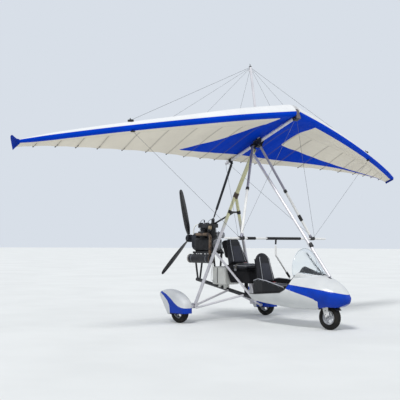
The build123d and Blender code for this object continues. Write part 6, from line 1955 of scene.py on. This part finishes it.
class Studio:
    """Camera at the photograph's angle, plain soft light and a pale floor."""

    place = np.array((8.1964, -8.9195, 1.2408))
    aim = np.array((-1.0219, -0.3153, 1.8867))
    roll = 0.004088
    focal_pixels = 789.93
    frame_pixels = 400.0
    sensor = 36
    suns = (("key", 2.1, 14.0, (-0.30, 0.62, -0.78)), ("fill", 0.55, 60.0, (-0.75, -0.35, -0.35)))

    def camera(self) -> None:
        """Sets the camera from its place, its aim and its roll."""
        ahead = unit(self.aim - self.place)
        right = unit(np.cross(ahead, (0, 0, 1)))
        up = np.cross(right, ahead)
        cosine, sine = math.cos(self.roll), math.sin(self.roll)
        right, up = cosine * right + sine * up, cosine * up - sine * right
        data = bpy.data.cameras.new("camera")
        data.sensor_fit = "HORIZONTAL"
        data.sensor_width = self.sensor
        data.lens = self.focal_pixels / self.frame_pixels * self.sensor
        data.clip_end = 400
        eye = bpy.data.objects.new("camera", data)
        turned = np.eye(4)
        turned[:3, 0], turned[:3, 1], turned[:3, 2], turned[:3, 3] = right, up, -ahead, self.place
        eye.matrix_world = Matrix(turned.tolist())
        bpy.context.scene.collection.objects.link(eye)
        bpy.context.scene.camera = eye

    def light(self) -> None:
        """Soft sun from the camera's left, a weak fill, and a sky that is pale to the camera alone."""
        for name, power, size, towards in self.suns:
            data = bpy.data.lights.new(name, "SUN")
            data.energy = power
            data.angle = math.radians(size)
            lamp = bpy.data.objects.new(name, data)
            lamp.rotation_mode = "QUATERNION"
            lamp.rotation_quaternion = Vector(towards).to_track_quat("-Z", "Y")
            bpy.context.scene.collection.objects.link(lamp)
        world = bpy.data.worlds.new("studio")
        bpy.context.scene.world = world
        world.use_nodes = True
        nodes, links = world.node_tree.nodes, world.node_tree.links
        nodes.clear()
        seen = self.seen_rays(nodes, links)
        sky, white, mix = (nodes.new(kind) for kind in ("ShaderNodeBackground", "ShaderNodeBackground",
                                                        "ShaderNodeMixShader"))
        sky.inputs["Color"].default_value = linear((236, 240, 246))
        sky.inputs["Strength"].default_value = 0.66
        white.inputs["Color"].default_value = linear((216, 223, 232))
        output = nodes.new("ShaderNodeOutputWorld")
        links.new(seen, mix.inputs[0])
        links.new(sky.outputs[0], mix.inputs[1])
        links.new(white.outputs[0], mix.inputs[2])
        links.new(mix.outputs[0], output.inputs[0])

    def seen_rays(self, nodes: bpy.types.bpy_prop_collection, links: bpy.types.bpy_prop_collection) -> object:
        """One where a ray is seen by the camera, straight, in a reflection or through glass."""
        path = nodes.new("ShaderNodeLightPath")
        total = path.outputs["Is Camera Ray"]
        for name in ("Is Glossy Ray", "Is Transmission Ray"):
            larger = nodes.new("ShaderNodeMath")
            larger.operation = "MAXIMUM"
            links.new(total, larger.inputs[0])
            links.new(path.outputs[name], larger.inputs[1])
            total = larger.outputs[0]
        return total

    def floor(self) -> None:
        """Round pale floor, wide enough to fill the view."""
        radius = np.concatenate([np.linspace(0.0, 12, 25), np.geomspace(14, 120, 12)])
        turn = np.linspace(0, 2 * np.pi, 64, endpoint=False)
        points = np.stack((np.outer(radius, np.cos(turn)), np.outer(radius, np.sin(turn)),
                           np.zeros((len(radius), 64))), axis=-1)
        form = grid(points, wrap=True)
        mesh = bpy.data.meshes.new("floor")
        mesh.from_pydata(form.points.tolist(), [], form.faces[0].tolist())
        weave = Weave("pale_floor")
        cloud = weave.span(weave.noise(0.6, 3.0), 0.35, 0.65)
        weave.set(Base_Color=weave.blend(cloud, linear((224, 226, 225)), linear((218, 220, 219))), Roughness=0.9)
        mesh.materials.append(weave.material)
        ground = bpy.data.objects.new("floor", mesh)
        bpy.context.scene.collection.objects.link(ground)

    def build(self) -> None:
        """Sets up the whole studio."""
        self.camera()
        self.light()
        self.floor()
        bpy.context.scene.view_settings.view_transform = "Standard"


PAINTED: dict[Paint, str] = {
    Paint.BLACK_TUBE: "base_tube engine_mount top_strut strut_rod",
    Paint.CREAM_TUBE: "mast",
    Paint.BRONZE: "mast_collar",
    Paint.LEG_TUBE: "rear_legs",
    Paint.SILVER_TUBE: "axles side_braces drag_struts front_strut keel kingpost",
    Paint.POD: "pod_shell",
    Paint.TUB: "cockpit_tub seat_frames",
    Paint.PANEL: "dashboard",
    Paint.SCREEN: "windscreen",
    Paint.HIDE: "front_seat rear_seat",
    Paint.BLACK_CLOTH: "under_seat_bag",
    Paint.TANK: "fuel_tank",
    Paint.ENGINE: "crankcase cylinders muffler",
    Paint.DARK_STEEL: "gearbox hang_block keel_clamp strut_barrel nose_bracket apex_bracket prop_hub",
    Paint.ALLOY: "carburettors",
    Paint.PIPE: "exhaust_pipe",
    Paint.SPAT: "wheel_spats",
    Paint.WHITE_TUBE: "bar_rest base_bar",
    Paint.SAIL: "sail",
    Paint.BLUE_CLOTH: "tip_fins",
    Paint.MAUVE_TUBE: "uprights",
    Paint.BLACK_TRIM: "corner_fittings nose_mudguard",
    Paint.FOAM: "bar_grips",
    Paint.WIRE: "stays",
    Paint.BLADE: "prop_blades",
    Paint.GREY: "nose_fork",
    Paint.RUBBER: "nose_tyre right_tyre left_tyre",
    Paint.RIM: "nose_rim right_rim left_rim",
}
NODE_PAINTS: dict[str, Paint] = {name: paint for paint, names in PAINTED.items() for name in names.split()}


def paint_nodes() -> None:
    """Gives every node of the fixed model its finish."""
    for name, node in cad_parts.items():
        paint = NODE_PAINTS[name]
        slots = node.data.materials
        if not slots:
            slots.append(paint.material())
        for place in range(len(slots)):
            slots[place] = paint.material()
        LOG.info("%s painted with %s", name, paint.name)


def main() -> None:
    """Builds and dresses every part of the aircraft."""
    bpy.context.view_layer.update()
    Studio().build()
    paint_nodes()
    for part in (Sail, Pod, Spats, Wheels, Propeller, Windscreen, Seats, Rigging, TipFins, EngineBay, TrikeFittings):
        part().build()


if __name__ == "__main__":
    main()
